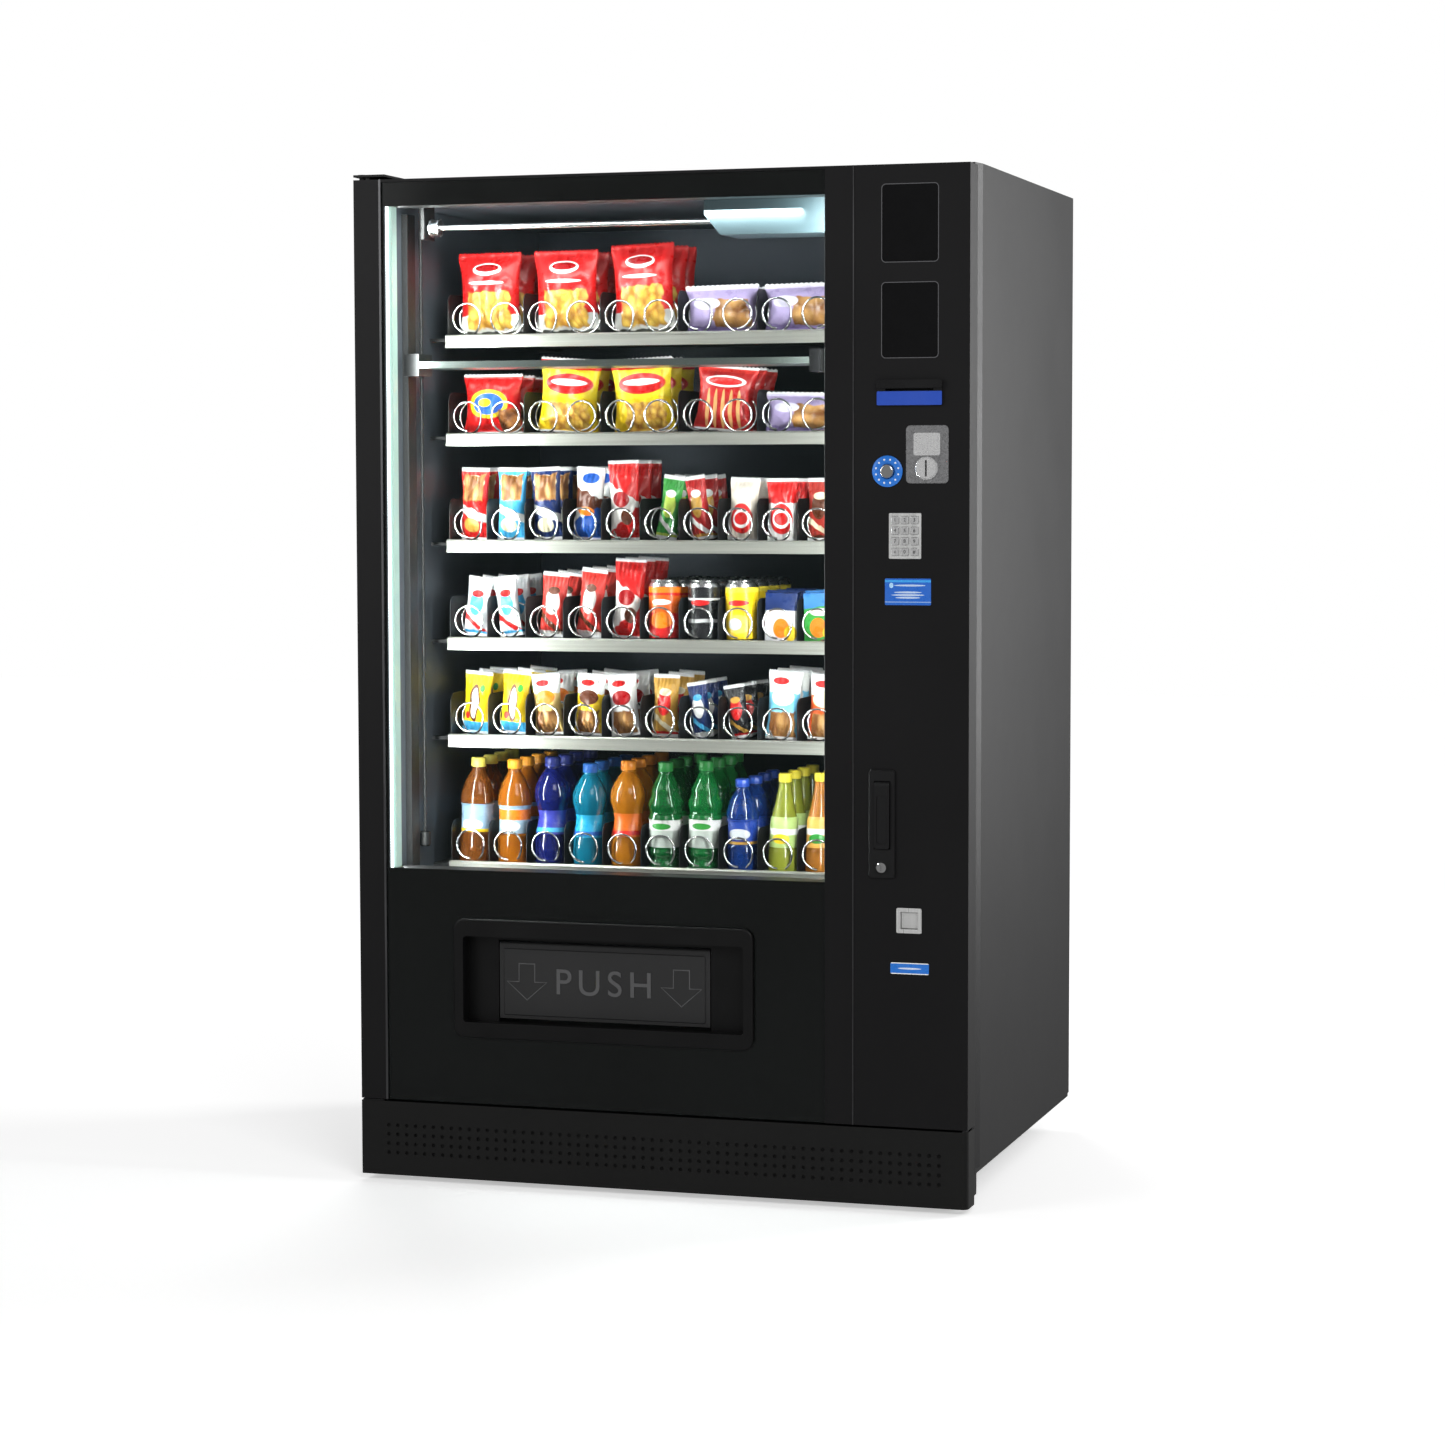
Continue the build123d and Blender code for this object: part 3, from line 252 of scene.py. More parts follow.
class Artwork(Look):
    """A printed wrapper or label, painted mark over mark."""

    def __init__(self, name, ground, rough=0.3, specular=0.5):
        super().__init__(name, ground, rough, 0.0, specular)
        uv = self.make("ShaderNodeTexCoord").outputs["UV"]
        cut = self.make("ShaderNodeSeparateXYZ", {"Vector": uv})
        self.uv, self.u, self.v = uv, cut.outputs["X"], cut.outputs["Y"]
        self.paint = self.make("ShaderNodeRGB").outputs[0]
        self.paint.default_value = self.color
        self.wobble = self.make(
            "ShaderNodeTexNoise", {"Vector": uv, "Scale": 5.0, "Detail": 2.0}
        ).outputs["Fac"]

    def cover(self, mask, color):
        value = color if isinstance(color, bpy.types.NodeSocket) else (*color, 1.0)
        self.paint = self.blend(mask, self.paint, value)
        return self

    def band(self, low, high, color, wave=0.0, lean=0.0):
        """A stripe across, wavy or leaning if asked."""
        level = self.math("ADD", self.v, self.math("MULTIPLY", self.u, lean))
        level = self.math("ADD", level, self.math("MULTIPLY", self.wobble, wave))
        above = self.remap(level, low - 0.004, low + 0.004)
        below = self.remap(level, high + 0.004, high - 0.004)
        return self.cover(self.math("MULTIPLY", above, below), color)

    def oval(self, at, size, color, turn=0.0):
        """A filled ellipse."""
        spot = self.make("ShaderNodeMapping", {
            "Vector": self.uv, "Location": (-at[0], -at[1], 0),
        }).outputs[0]
        spot = self.make("ShaderNodeMapping", {
            "Vector": spot, "Rotation": (0, 0, turn), "Scale": (1 / size[0], 1 / size[1], 0),
        }).outputs[0]
        reach = self.make("ShaderNodeVectorMath", {0: spot}, operation="LENGTH").outputs["Value"]
        return self.cover(self.remap(reach, 1.03, 0.97), color)

    def crumbs(self, low, high, left, right, colors, scale):
        """A heap of crisps, crumbs or fruit pieces in a soft-edged field."""
        cells = self.make("ShaderNodeTexVoronoi", {"Vector": self.uv, "Scale": scale})
        grey = self.make("ShaderNodeRGBToBW", {"Color": cells.outputs["Color"]}).outputs[0]
        rim = self.remap(cells.outputs["Distance"], 0.2, 0.75)
        fill = self.blend(grey, (*colors[0], 1), (*colors[1], 1))
        fill = self.blend(rim, fill, (*colors[2], 1))
        level = self.math("ADD", self.v, self.math("MULTIPLY", self.wobble, 0.16))
        side = self.math("ADD", self.u, self.math("MULTIPLY", self.wobble, 0.2))
        above, below = self.remap(level, low, low + 0.02), self.remap(level, high, high - 0.02)
        mask = self.math("MULTIPLY", above, below)
        mask = self.math("MULTIPLY", mask, self.remap(side, left, left + 0.02))
        return self.cover(self.math("MULTIPLY", mask, self.remap(side, right, right - 0.02)), fill)

    def done(self, crinkle=0.25, foil_ends=None):
        if foil_ends:
            self.band(-1, foil_ends, (0.75, 0.75, 0.76)).band(1 - foil_ends, 2, (0.75, 0.75, 0.76))
        self.wire(self.paint, "Base Color")
        folds = self.noise(55.0, 4, (1, 0.6, 1))
        self.wire(self.remap(folds, 0.3, 0.7, 0.2, 0.42), "Roughness")
        return self.bump(folds, crinkle, 0.002).material


RED, DEEP_RED = (0.62, 0.012, 0.012), (0.32, 0.004, 0.006)
WHITE, CREAM = (0.85, 0.85, 0.83), (0.8, 0.72, 0.5)
YELLOW, GOLD = (0.9, 0.6, 0.01), (0.6, 0.33, 0.06)
NAVY, BLUE = (0.012, 0.03, 0.13), (0.02, 0.11, 0.5)
SKY, LILAC = (0.06, 0.42, 0.75), (0.42, 0.34, 0.58)
GREEN, BROWN = (0.04, 0.32, 0.05), (0.11, 0.03, 0.012)
ORANGE, BLACK = (0.85, 0.2, 0.01), (0.012, 0.012, 0.014)
CRISPS = ((0.95, 0.66, 0.12), (0.75, 0.42, 0.06), (0.45, 0.2, 0.03))
NUTS = ((0.5, 0.22, 0.06), (0.3, 0.11, 0.03), (0.12, 0.04, 0.015))
BAKED = ((0.72, 0.42, 0.16), (0.5, 0.24, 0.07), (0.22, 0.08, 0.02))


def wrapper_art():
    """Every printed wrapper, by a plain name for what is in it."""
    art = {}
    crisps = Artwork("crisp_bag", RED)
    crisps.band(-1, 0.3, (0.75, 0.74, 0.7), 0.1).band(-1, 0.12, (0.05, 0.05, 0.04), 0.12)
    crisps.crumbs(0.16, 0.62, 0.24, 0.98, CRISPS, 9).oval((0.5, 0.8), (0.24, 0.075), WHITE)
    crisps.oval((0.5, 0.815), (0.2, 0.045), DEEP_RED).oval((0.5, 0.64), (0.3, 0.022), WHITE)
    art["crisps"] = crisps.done(0.35)

    roll = Artwork("pastry_pack", LILAC)
    roll.band(-1, 0.3, (0.26, 0.19, 0.42), 0.2, 0.12).crumbs(0.2, 0.78, 0.5, 1.02, BAKED, 3.4)
    roll.oval((0.3, 0.62), (0.2, 0.12), (0.7, 0.66, 0.8), 0.2).band(0.9, 2, (0.62, 0.57, 0.72))
    art["pastry"] = roll.done(0.35, 0.05)

    rings = Artwork("cracker_bag", RED)
    rings.oval((0.46, 0.5), (0.36, 0.24), YELLOW, 0.25).oval((0.46, 0.5), (0.28, 0.18), BLUE, 0.25)
    rings.oval((0.4, 0.52), (0.13, 0.07), YELLOW, 0.4).crumbs(0.08, 0.5, 0.75, 1.1, NUTS, 7)
    art["crackers"] = rings.done(0.35, 0.04)

    puffs = Artwork("puff_bag", YELLOW)
    puffs.band(0.52, 2, (0.9, 0.68, 0.03), 0.1).oval((0.52, 0.66), (0.42, 0.14), RED, -0.2)
    puffs.oval((0.52, 0.68), (0.33, 0.045), WHITE, -0.2).crumbs(0.1, 0.5, 0.3, 1.0, CRISPS, 11)
    puffs.band(0.88, 2, RED, 0.05)
    art["puffs"] = puffs.done(0.35, 0.03)

    sticks = Artwork("stick_bag", (0.5, 0.02, 0.02))
    sticks.oval((0.5, 0.76), (0.36, 0.09), WHITE, -0.1).oval((0.5, 0.76), (0.3, 0.06), RED, -0.1)
    for n in range(5):
        sticks.oval((0.22 + 0.14 * n, 0.34), (0.035, 0.3), (0.75, 0.4, 0.15), 0.5)
    art["sticks"] = sticks.band(0.9, 2, (0.7, 0.04, 0.03)).done(0.35, 0.04)

    for name, ground, tone in (
        ("wafer_red", RED, GOLD), ("wafer_sky", SKY, CREAM), ("wafer_navy", NAVY, CREAM),
    ):
        wafer = Artwork(name, ground)
        wafer.oval((0.5, 0.8), (0.42, 0.1), CREAM, 0.4).crumbs(0.62, 1.0, 0.2, 1.0, BAKED, 5)
        wafer.band(0.42, 0.54, WHITE, 0.06, 0.15).oval((0.45, 0.22), (0.3, 0.1), tone, 0.3)
        art[name] = wafer.done(0.3, 0.05)

    milk = Artwork("biscuit_white", WHITE)
    milk.band(0.5, 0.78, BROWN, 0.1, 0.15).band(-1, 0.32, BLUE, 0.12, -0.2)
    milk.oval((0.55, 0.85), (0.3, 0.07), BLUE)
    art["biscuit_white"] = milk.oval((0.5, 0.4), (0.32, 0.06), ORANGE, 0.3).done(0.3, 0.05)

    tall = Artwork("hazel_bar", (0.8, 0.78, 0.74))
    tall.band(0.8, 2, RED, 0.12, 0.25).band(-1, 0.2, RED, 0.16, -0.3)
    tall.oval((0.45, 0.52), (0.3, 0.1), DEEP_RED, 1.1)
    art["hazel_bar"] = tall.oval((0.62, 0.3), (0.2, 0.1), BROWN).done(0.3, 0.04)

    for name, ground, first, second in (
        ("fruit_green", GREEN, (0.5, 0.65, 0.1), WHITE), ("fruit_red", (0.45, 0.02, 0.02), GOLD, WHITE),
        ("bar_mixed", (0.78, 0.8, 0.82), SKY, RED),
        ("bar_clear", (0.7, 0.04, 0.03), (0.75, 0.7, 0.66), BROWN),
        ("bar_navy", NAVY, WHITE, SKY), ("bar_black", BLACK, RED, GOLD), ("bar_gold", GOLD, RED, CREAM),
        ("bar_brown", (0.4, 0.03, 0.02), BROWN, CREAM),
    ):
        bar = Artwork(name, ground)
        bar.oval((0.5, 0.55), (0.3, 0.2), first, 0.5).band(0.36, 0.46, second, 0.1, 0.3)
        bar.oval((0.52, 0.72), (0.25, 0.06), second, 0.4).band(-1, 0.14, first, 0.08)
        art[name] = bar.done(0.35, 0.06)

    for name, ground in (("finger_cream", (0.8, 0.72, 0.62)), ("finger_white", (0.82, 0.8, 0.78))):
        finger = Artwork(name, ground)
        finger.oval((0.5, 0.36), (0.4, 0.24), RED, 0.5).oval((0.5, 0.36), (0.3, 0.15), WHITE, 0.5)
        finger.band(0.66, 2, RED if name == "finger_white" else ground, 0.1)
        finger.oval((0.5, 0.36), (0.24, 0.1), RED, 0.5)
        art[name] = finger.done(0.3, 0.05)

    beans = Artwork("peanut_pack", YELLOW)
    beans.band(-1, 0.24, SKY, 0.08).oval((0.5, 0.5), (0.2, 0.3), BROWN, 0.2)
    beans.oval((0.52, 0.5), (0.13, 0.24), WHITE, 0.2)
    beans.oval((0.26, 0.3), (0.1, 0.06), RED).oval((0.75, 0.74), (0.1, 0.06), (0.05, 0.35, 0.05))
    art["peanuts"] = beans.done(0.3, 0.05)

    for name, ground, tone in (
        ("cake_orange", (0.85, 0.6, 0.2), ORANGE), ("cake_yellow", YELLOW, BROWN),
        ("cake_white", WHITE, DEEP_RED),
        ("cake_sky", (0.2, 0.6, 0.85), WHITE), ("cake_red", (0.75, 0.1, 0.02), CREAM),
    ):
        cake = Artwork(name, ground)
        cake.band(0.74, 2, WHITE, 0.12).oval((0.5, 0.62), (0.36, 0.12), tone, 0.3)
        cake.crumbs(0.08, 0.5, 0.2, 1.0, BAKED, 4).oval((0.4, 0.85), (0.24, 0.05), RED)
        art[name] = cake.done(0.3, 0.05)
    return art


# Mesh tools

def finish_mesh(name, vertices, faces, uvs=None, smooth=True):
    """An object from plain lists; uvs hold one pair per vertex."""
    mesh = bpy.data.meshes.new(name)
    mesh.from_pydata(vertices, [], faces)
    if uvs:
        layer = mesh.uv_layers.new(name="UVMap")
        for loop in mesh.loops:
            layer.data[loop.index].uv = uvs[loop.vertex_index]
    for polygon in mesh.polygons:
        polygon.use_smooth = smooth
    mesh.validate()
    return mesh


def grid_faces(columns, rows, offset=0, flip=False):
    faces = []
    for r in range(rows - 1):
        for c in range(columns - 1):
            a = offset + r * columns + c
            face = (a, a + 1, a + columns + 1, a + columns)
            faces.append(face[::-1] if flip else face)
    return faces


def show(mesh, name, body, at=(0, 0, 0), turn=(0, 0, 0), materials=()):
    """Put a mesh in the scene as a piece that rides on a body."""
    piece = bpy.data.objects.new(name, mesh)
    bpy.context.scene.collection.objects.link(piece)
    piece.location = at
    piece.rotation_euler = turn
    for look in materials:
        if look.name not in [m.name for m in mesh.materials if m]:
            mesh.materials.append(look)
    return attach(piece, body)


def rounded_slab(name, low, high, radius, segments=3):
    """A box with all its edges rounded, between two corners."""
    bm = bmesh.new()
    bmesh.ops.create_cube(bm, size=1.0)
    low, high = Vector(low), Vector(high)
    middle, size = (low + high) / 2, high - low
    for vertex in bm.verts:
        vertex.co = Vector(v * s for v, s in zip(vertex.co, size)) + middle
    bmesh.ops.bevel(bm, geom=bm.edges[:], offset=radius, segments=segments, affect="EDGES", profile=0.5)
    mesh = bpy.data.meshes.new(name)
    bm.to_mesh(mesh)
    bm.free()
    for polygon in mesh.polygons:
        polygon.use_smooth = True
    return mesh


def pillow_pack(name, width, height, depth, seed, seal=0.008, teeth=13):
    """A film pack standing on its lower seal: two skins that swell between flat, saw-toothed seals."""
    columns, rows = 31, 37
    vertices, uvs, faces = [], [], []
    for side in (-1, 1):
        for r in range(rows):
            v = r / (rows - 1)
            z = v * height
            to_seal = min(z, height - z) - seal
            swell_v = max(0.0, 1 - (1 - min(1.0, to_seal / (height * 0.36))) ** 2.4) if to_seal > 0 else 0.0
            for c in range(columns):
                u = c / (columns - 1) * 2 - 1
                swell_u = max(0.0, 1 - abs(u) ** 3.2) ** 0.75
                pull = 1 - 0.1 * swell_v * (1 - abs(2 * v - 1) ** 3)
                x = u * width / 2 * pull
                fullness = swell_u * swell_v
                pucker = math.sin(u * 21 + seed * 3) * max(0.0, 1 - to_seal / (height * 0.22)) * 0.0016
                spot = Vector((x * 34 + seed * 7.1, side * 3.7 + seed, z * 26))
                crease = (abs(noise.noise(spot)) * 2 - 0.55) * 0.0062 * fullness ** 0.6
                crease += noise.noise(spot * 2.7) * 0.0018 * fullness ** 0.5
                y = side * (0.0005 + depth / 2 * fullness) + side * crease
                y += (pucker if to_seal > 0 else 0.0)
                if r in (0, rows - 1):
                    z_here = z + (0.0012 if c % 2 else -0.0012) * (1 if r else -1)
                else:
                    z_here = z
                vertices.append((x, y, max(0.0, z_here)))
                uvs.append(((u + 1) / 2, v))
        faces += grid_faces(columns, rows, 0 if side < 0 else columns * rows, side > 0)
    back = columns * rows
    rim = [r * columns for r in range(rows)]
    for a, b in zip(rim, rim[1:]):
        last = columns - 1
        faces.append((a, b, b + back, a + back))
        faces.append((a + last, a + last + back, b + last + back, b + last))
    for c in range(columns - 1):
        top = (rows - 1) * columns + c
        faces.append((c, c + back, c + 1 + back, c + 1))
        faces.append((top, top + 1, top + 1 + back, top + back))
    return finish_mesh(name, vertices, faces, uvs)


def lathe(name, profile, segments=40, squeeze=1.0):
    """A turned shape from (radius, height, material index) points, its front at u = 0.5."""
    vertices, uvs, faces = [], [], []
    tall = profile[-1][1]
    for radius, height, _ in profile:
        for s in range(segments + 1):
            angle = 2 * math.pi * s / segments + math.pi / 2
            vertices.append((radius * math.cos(angle), radius * math.sin(angle) * squeeze, height))
            uvs.append((s / segments, height / tall))
    ring = segments + 1
    marks = []
    for p in range(len(profile) - 1):
        for s in range(segments):
            a = p * ring + s
            faces.append((a, a + 1, a + ring + 1, a + ring))
            marks.append(profile[p][2])
    mesh = finish_mesh(name, vertices, faces, uvs)
    for polygon, mark in zip(mesh.polygons, marks):
        polygon.material_index = mark
    bm = bmesh.new()
    bm.from_mesh(mesh)
    bmesh.ops.remove_doubles(bm, verts=bm.verts, dist=1e-6)
    bm.to_mesh(mesh)
    bm.free()
    return mesh


def smooth_profile(points, steps=5):
    """Points of (radius, height, mark) run through a Catmull-Rom curve."""
    out = []
    for i in range(len(points) - 1):
        a, b = points[max(0, i - 1)], points[i]
        c, d = points[i + 1], points[min(len(points) - 1, i + 2)]
        for s in range(steps):
            t = s / steps
            pair = [
                0.5 * (2 * b[k] + (c[k] - a[k]) * t + (2 * a[k] - 5 * b[k] + 4 * c[k] - d[k]) * t ** 2
                       + (3 * b[k] - a[k] - 3 * c[k] + d[k]) * t ** 3)
                for k in (0, 1)
            ]
            out.append((max(0.0004, pair[0]), pair[1], b[2]))
    out.append(points[-1])
    return out


# Bottles, cans and cartons

def bottle(name, style, width, height):
    """A drinks bottle: body, label belt, neck and ribbed cap. Marks: 0 body, 1 label, 2 cap."""
    w = width / 2
    shapes = {
        "straight": [
            (0.1, 0.0, 0), (0.86, 0.0, 0), (1.0, 0.03, 0), (1.0, 0.26, 0), (0.93, 0.29, 1), (0.93, 0.52, 1),
            (1.0, 0.56, 0), (0.96, 0.66, 0), (0.72, 0.78, 0), (0.45, 0.86, 0), (0.36, 0.9, 0),
        ],
        "waisted": [
            (0.1, 0.0, 0), (0.84, 0.0, 0), (1.0, 0.05, 0), (1.02, 0.18, 0), (0.94, 0.28, 1), (0.78, 0.42, 1),
            (0.82, 0.5, 0), (1.0, 0.62, 0), (0.96, 0.72, 0), (0.68, 0.82, 0), (0.38, 0.89, 0),
        ],
        "long_neck": [
            (0.1, 0.0, 0), (0.88, 0.0, 0), (1.0, 0.04, 0), (0.97, 0.2, 0), (0.93, 0.25, 1), (0.88, 0.5, 1),
            (0.8, 0.56, 0), (0.6, 0.7, 0), (0.46, 0.82, 0), (0.4, 0.89, 0),
        ],
        "dimpled": [
            (0.1, 0.0, 0), (0.82, 0.0, 0), (0.96, 0.03, 0), (0.86, 0.08, 0), (1.0, 0.14, 0), (0.95, 0.2, 1),
            (0.95, 0.42, 1), (1.0, 0.46, 0), (0.92, 0.52, 0), (1.0, 0.6, 0), (0.84, 0.68, 0), (0.8, 0.74, 0),
            (0.56, 0.83, 0), (0.37, 0.89, 0),
        ],
    }
    points = [(r * w, z * height, mark) for r, z, mark in shapes[style]]
    profile = smooth_profile(points)
    cap = 0.42 * w
    neck = height * 0.9
    profile += [(cap * 0.86, neck, 0), (cap * 1.12, neck + 0.001, 0), (cap * 0.9, neck + 0.002, 2)]
    profile += [(cap, neck + 0.003, 2), (cap, height - 0.0016, 2), (cap * 0.86, height, 2)]
    profile.append((0.0004, height, 2))
    mesh = lathe(name, profile, 48)
    ribs = 24
    for vertex in mesh.vertices:
        reach = math.hypot(vertex.co.x, vertex.co.y)
        if neck + 0.0025 < vertex.co.z < height - 0.001 and reach > cap * 0.95:
            turn = math.atan2(vertex.co.y, vertex.co.x)
            grow = 1 + 0.03 * math.copysign(1, math.sin(turn * ribs))
            vertex.co.x *= grow
            vertex.co.y *= grow
        elif style == "dimpled" and vertex.co.z > 0.44 * height and reach > w * 0.7:
            turn = math.atan2(vertex.co.y, vertex.co.x)
            dent = 1 - 0.035 * max(0.0, math.sin(turn * 7 + vertex.co.z * 90))
            vertex.co.x *= dent
            vertex.co.y *= dent
    return mesh


def can(name, width, height):
    """A drinks can: domed foot, straight side, stepped shoulder, rim and recessed lid with its tab."""
    w = width / 2
    profile = [(0.0004, 0.006, 1), (w * 0.6, 0.005, 1), (w * 0.74, 0.0, 1), (w * 0.8, 0.0, 1)]
    wall = [(w * 0.82, 0.001, 1), (w * 0.95, 0.006, 0), (w, 0.012, 0), (w, height - 0.014, 0)]
    shoulder = [(w, height - 0.013, 1), (w * 0.93, height - 0.006, 1), (w * 0.83, height - 0.003, 1)]
    profile += smooth_profile(wall) + smooth_profile(shoulder)
    profile += [(w * 0.86, height, 1), (w * 0.82, height, 1)]
    profile += [(w * 0.78, height - 0.005, 1), (0.0004, height - 0.005, 1)]
    mesh = lathe(name, profile, 48)
    bm = bmesh.new()
    bm.from_mesh(mesh)
    tab = bmesh.ops.create_circle(bm, cap_ends=True, radius=w * 0.28, segments=20)["verts"]
    for vertex in tab:
        vertex.co = Vector((vertex.co.x * 0.6, vertex.co.y - w * 0.1, height - 0.0038))
        for face in vertex.link_faces:
            face.material_index = 1
    bm.to_mesh(mesh)
    bm.free()
    return mesh


def carton(name, width, height, depth):
    """A small drinks carton with folded end seams and a straw in its sleeve."""
    mesh = rounded_slab(name, (-width / 2, -depth / 2, 0), (width / 2, depth / 2, height), 0.0022, 3)
    bm = bmesh.new()
    bm.from_mesh(mesh)
    straw = bmesh.ops.create_cone(
        bm, cap_ends=True, segments=12, radius1=0.0022, radius2=0.0022, depth=height * 0.82,
    )["verts"]
    lean = Matrix.Rotation(0.42, 4, "Z")
    for vertex in straw:
        turned = lean @ Vector((vertex.co.x, vertex.co.z, 0))
        vertex.co = Vector((turned.x, depth / 2 + 0.0022 + vertex.co.y, height / 2 + turned.y))
    seam = bmesh.ops.create_cube(bm, size=1.0)["verts"]
    for vertex in seam:
        x, y, z = vertex.co
        vertex.co = Vector((x * width * 0.98, y * 0.001, height + 0.002 + z * 0.004))
    bm.to_mesh(mesh)
    bm.free()
    layer = mesh.uv_layers.new(name="UVMap")
    for loop in mesh.loops:
        spot = mesh.vertices[loop.vertex_index].co
        layer.data[loop.index].uv = (spot.x / width + 0.5, spot.z / height)
    return mesh


def drink(name, color, clear=0.45):
    """Coloured plastic bottle filled with drink."""
    look = Look(name, color, 0.08, 0.0, 0.6)
    look.put("Transmission Weight", clear).put("IOR", 1.36).put("Coat Weight", 0.5)
    deep = tuple(c * 0.55 for c in color) + (1,)
    look.wire(look.blend(look.noise(30.0, 2), deep, (*color, 1)), "Base Color")
    return look.bump(look.noise(60.0, 2, (1, 1, 0.4)), 0.12, 0.002).material


def drink_label(name, ground, marks, rough=0.35):
    label = Artwork(name, ground, rough)
    for kind, *facts in marks:
        getattr(label, kind)(*facts)
    return label.done(0.08)


def tin(name):
    look = Look(name, (0.75, 0.76, 0.77), 0.25, 1.0)
    return look.vary(0.1, 60.0).smudge(0.2, 0.34, 80.0).material


def cap_look(name, color):
    look = Look(name, color, 0.35)
    return look.vary(0.15, 90.0).smudge(0.3, 0.45, 120.0).material


# Filling the trays

TRAY_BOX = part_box("tray_pans")
LEFT, RIGHT = TRAY_BOX[0].x, TRAY_BOX[1].x
COLUMN = (RIGHT - LEFT) / COLUMNS
RAIL_NODES = [NODES["price_rails"], NODES["service_tray_rail"]]


def rail_tops():
    """Height of each tray's front rail, read from the rails themselves, top tray first."""
    heights = []
    for rail in RAIL_NODES:
        tops = sorted({round(v.co.z, 4) for v in rail.data.vertices}, reverse=True)
        kept = []
        for z in tops:
            if not kept or kept[-1] - z > 0.1:
                kept.append(z)
        heights += kept
    return sorted(heights, reverse=True)


TOPS = rail_tops()
FLOORS = [top - PAN_DROP for top in TOPS]
RAIL_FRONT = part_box("price_rails")[0].y
SPIRAL_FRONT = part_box("tray_spirals")[0].y + WIRE
FIRST_ITEM = SPIRAL_FRONT + 0.034

# How loosely the stock stands
PACK_CLEAR = 0.0006
ASTRAY = 0.002
TIPPED = 0.03


def column_x(column):
    return LEFT + COLUMN * (column + 0.5)


def tray_body(tray):
    return "tray" if tray == SERVICE_TRAY else "cabinet"


def fill(tray, x, label, mesh, looks, lean=0.0, turn=0.0, deep=3, step=PITCH):
    """One kind of snack in a column, with more of the same behind it."""
    draw = random.Random(f"{tray}{label}{x:.3f}")
    made = []
    for n in range(deep):
        at = (x + draw.uniform(-ASTRAY, ASTRAY), FIRST_ITEM + step * n, FLOORS[tray] + PACK_CLEAR)
        tilt = (
            draw.uniform(-TIPPED, TIPPED), lean + draw.uniform(-TIPPED, TIPPED),
            turn + draw.uniform(-2 * TIPPED, 2 * TIPPED),
        )
        made.append(show(mesh, f"{label}_tray{tray + 1}_{n + 1}", tray_body(tray), at, tilt, looks))
    return made


def lift_for_lean(width, lean):
    """How far a leaning pack must rise so that its low corner stays on the tray."""
    return abs(math.sin(lean)) * width / 2


def stock_pack(tray, x, label, art, size, seed, lean=0.0, turn=0.0, deep=3):
    width, height, depth = size
    mesh = pillow_pack(label, width, height, depth, seed)
    for piece in fill(tray, x, label, mesh, [art], lean, turn, deep):
        piece.location.z += lift_for_lean(width, lean)


def stock_bags(art):
    """The two top trays: five wide packs each, on paired spirals."""
    bag, short, low = (0.126, 0.156, 0.05), (0.116, 0.112, 0.046), (0.138, 0.088, 0.05)
    middle = (0.118, 0.138, 0.048)
    rows = (
        (("crisps", bag, 0.0), ("crisps", bag, 0.02), ("crisps", (0.124, 0.166, 0.05), -0.01),
         ("pastry", low, 0.0), ("pastry", low, -0.02)),
        (("crackers", short, 0.02), ("puffs", middle, 0.05), ("puffs", middle, -0.03),
         ("sticks", (0.114, 0.12, 0.046), 0.07), ("pastry", (0.134, 0.074, 0.048), 0.0)),
    )
    for tray, row in enumerate(rows):
        for place, (kind, size, lean) in enumerate(row):
            x = LEFT + COLUMN * 2 * (place + 0.5)
            label = f"{kind}_{place + 1}_{tray + 1}"
            stock_pack(tray, x, label, art[kind], size, place + tray * 5, lean)


def stock_bars(art):
    """Small packs on the single-spiral trays."""
    small, tall, slim = (0.057, 0.137, 0.03), (0.06, 0.149, 0.03), (0.04, 0.12, 0.024)
    low = (0.057, 0.116, 0.032)
    rows = {
        2: (("wafer_red", small, 0.0), ("wafer_sky", small, 0.0), ("wafer_navy", small, -0.03),
            ("biscuit_white", small, 0.03), ("hazel_bar", tall, -0.03), ("fruit_green", slim, 0.15),
            ("fruit_red", slim, -0.14), ("finger_cream", low, 0.04), ("finger_white", low, 0.0),
            ("bar_brown", low, -0.02)),
        3: (("bar_mixed", (0.048, 0.112, 0.026), 0.14), ("bar_mixed", (0.046, 0.114, 0.026), -0.14),
            ("bar_clear", (0.05, 0.122, 0.028), 0.12), ("bar_clear", (0.052, 0.13, 0.028), 0.1),
            ("hazel_bar", tall, 0.05)),
        4: (("peanuts", (0.056, 0.118, 0.032), 0.06), ("peanuts", (0.056, 0.12, 0.032), 0.08),
            ("cake_orange", low, -0.04), ("cake_yellow", low, 0.08), ("cake_white", low, -0.08),
            ("bar_gold", (0.05, 0.118, 0.03), 0.05), ("bar_navy", (0.038, 0.104, 0.024), -0.15),
            ("bar_black", (0.04, 0.1, 0.024), -0.15), ("cake_sky", (0.064, 0.128, 0.032), 0.04),
            ("cake_red", (0.06, 0.122, 0.03), 0.06)),
    }
    for tray, row in rows.items():
        for place, (kind, size, lean) in enumerate(row):
            label = f"{kind}_{place + 1}_{tray + 1}"
            turn = 0.05 * (place % 3 - 1)
            stock_pack(tray, column_x(place), label, art[kind], size, place * 3 + tray, lean, turn)


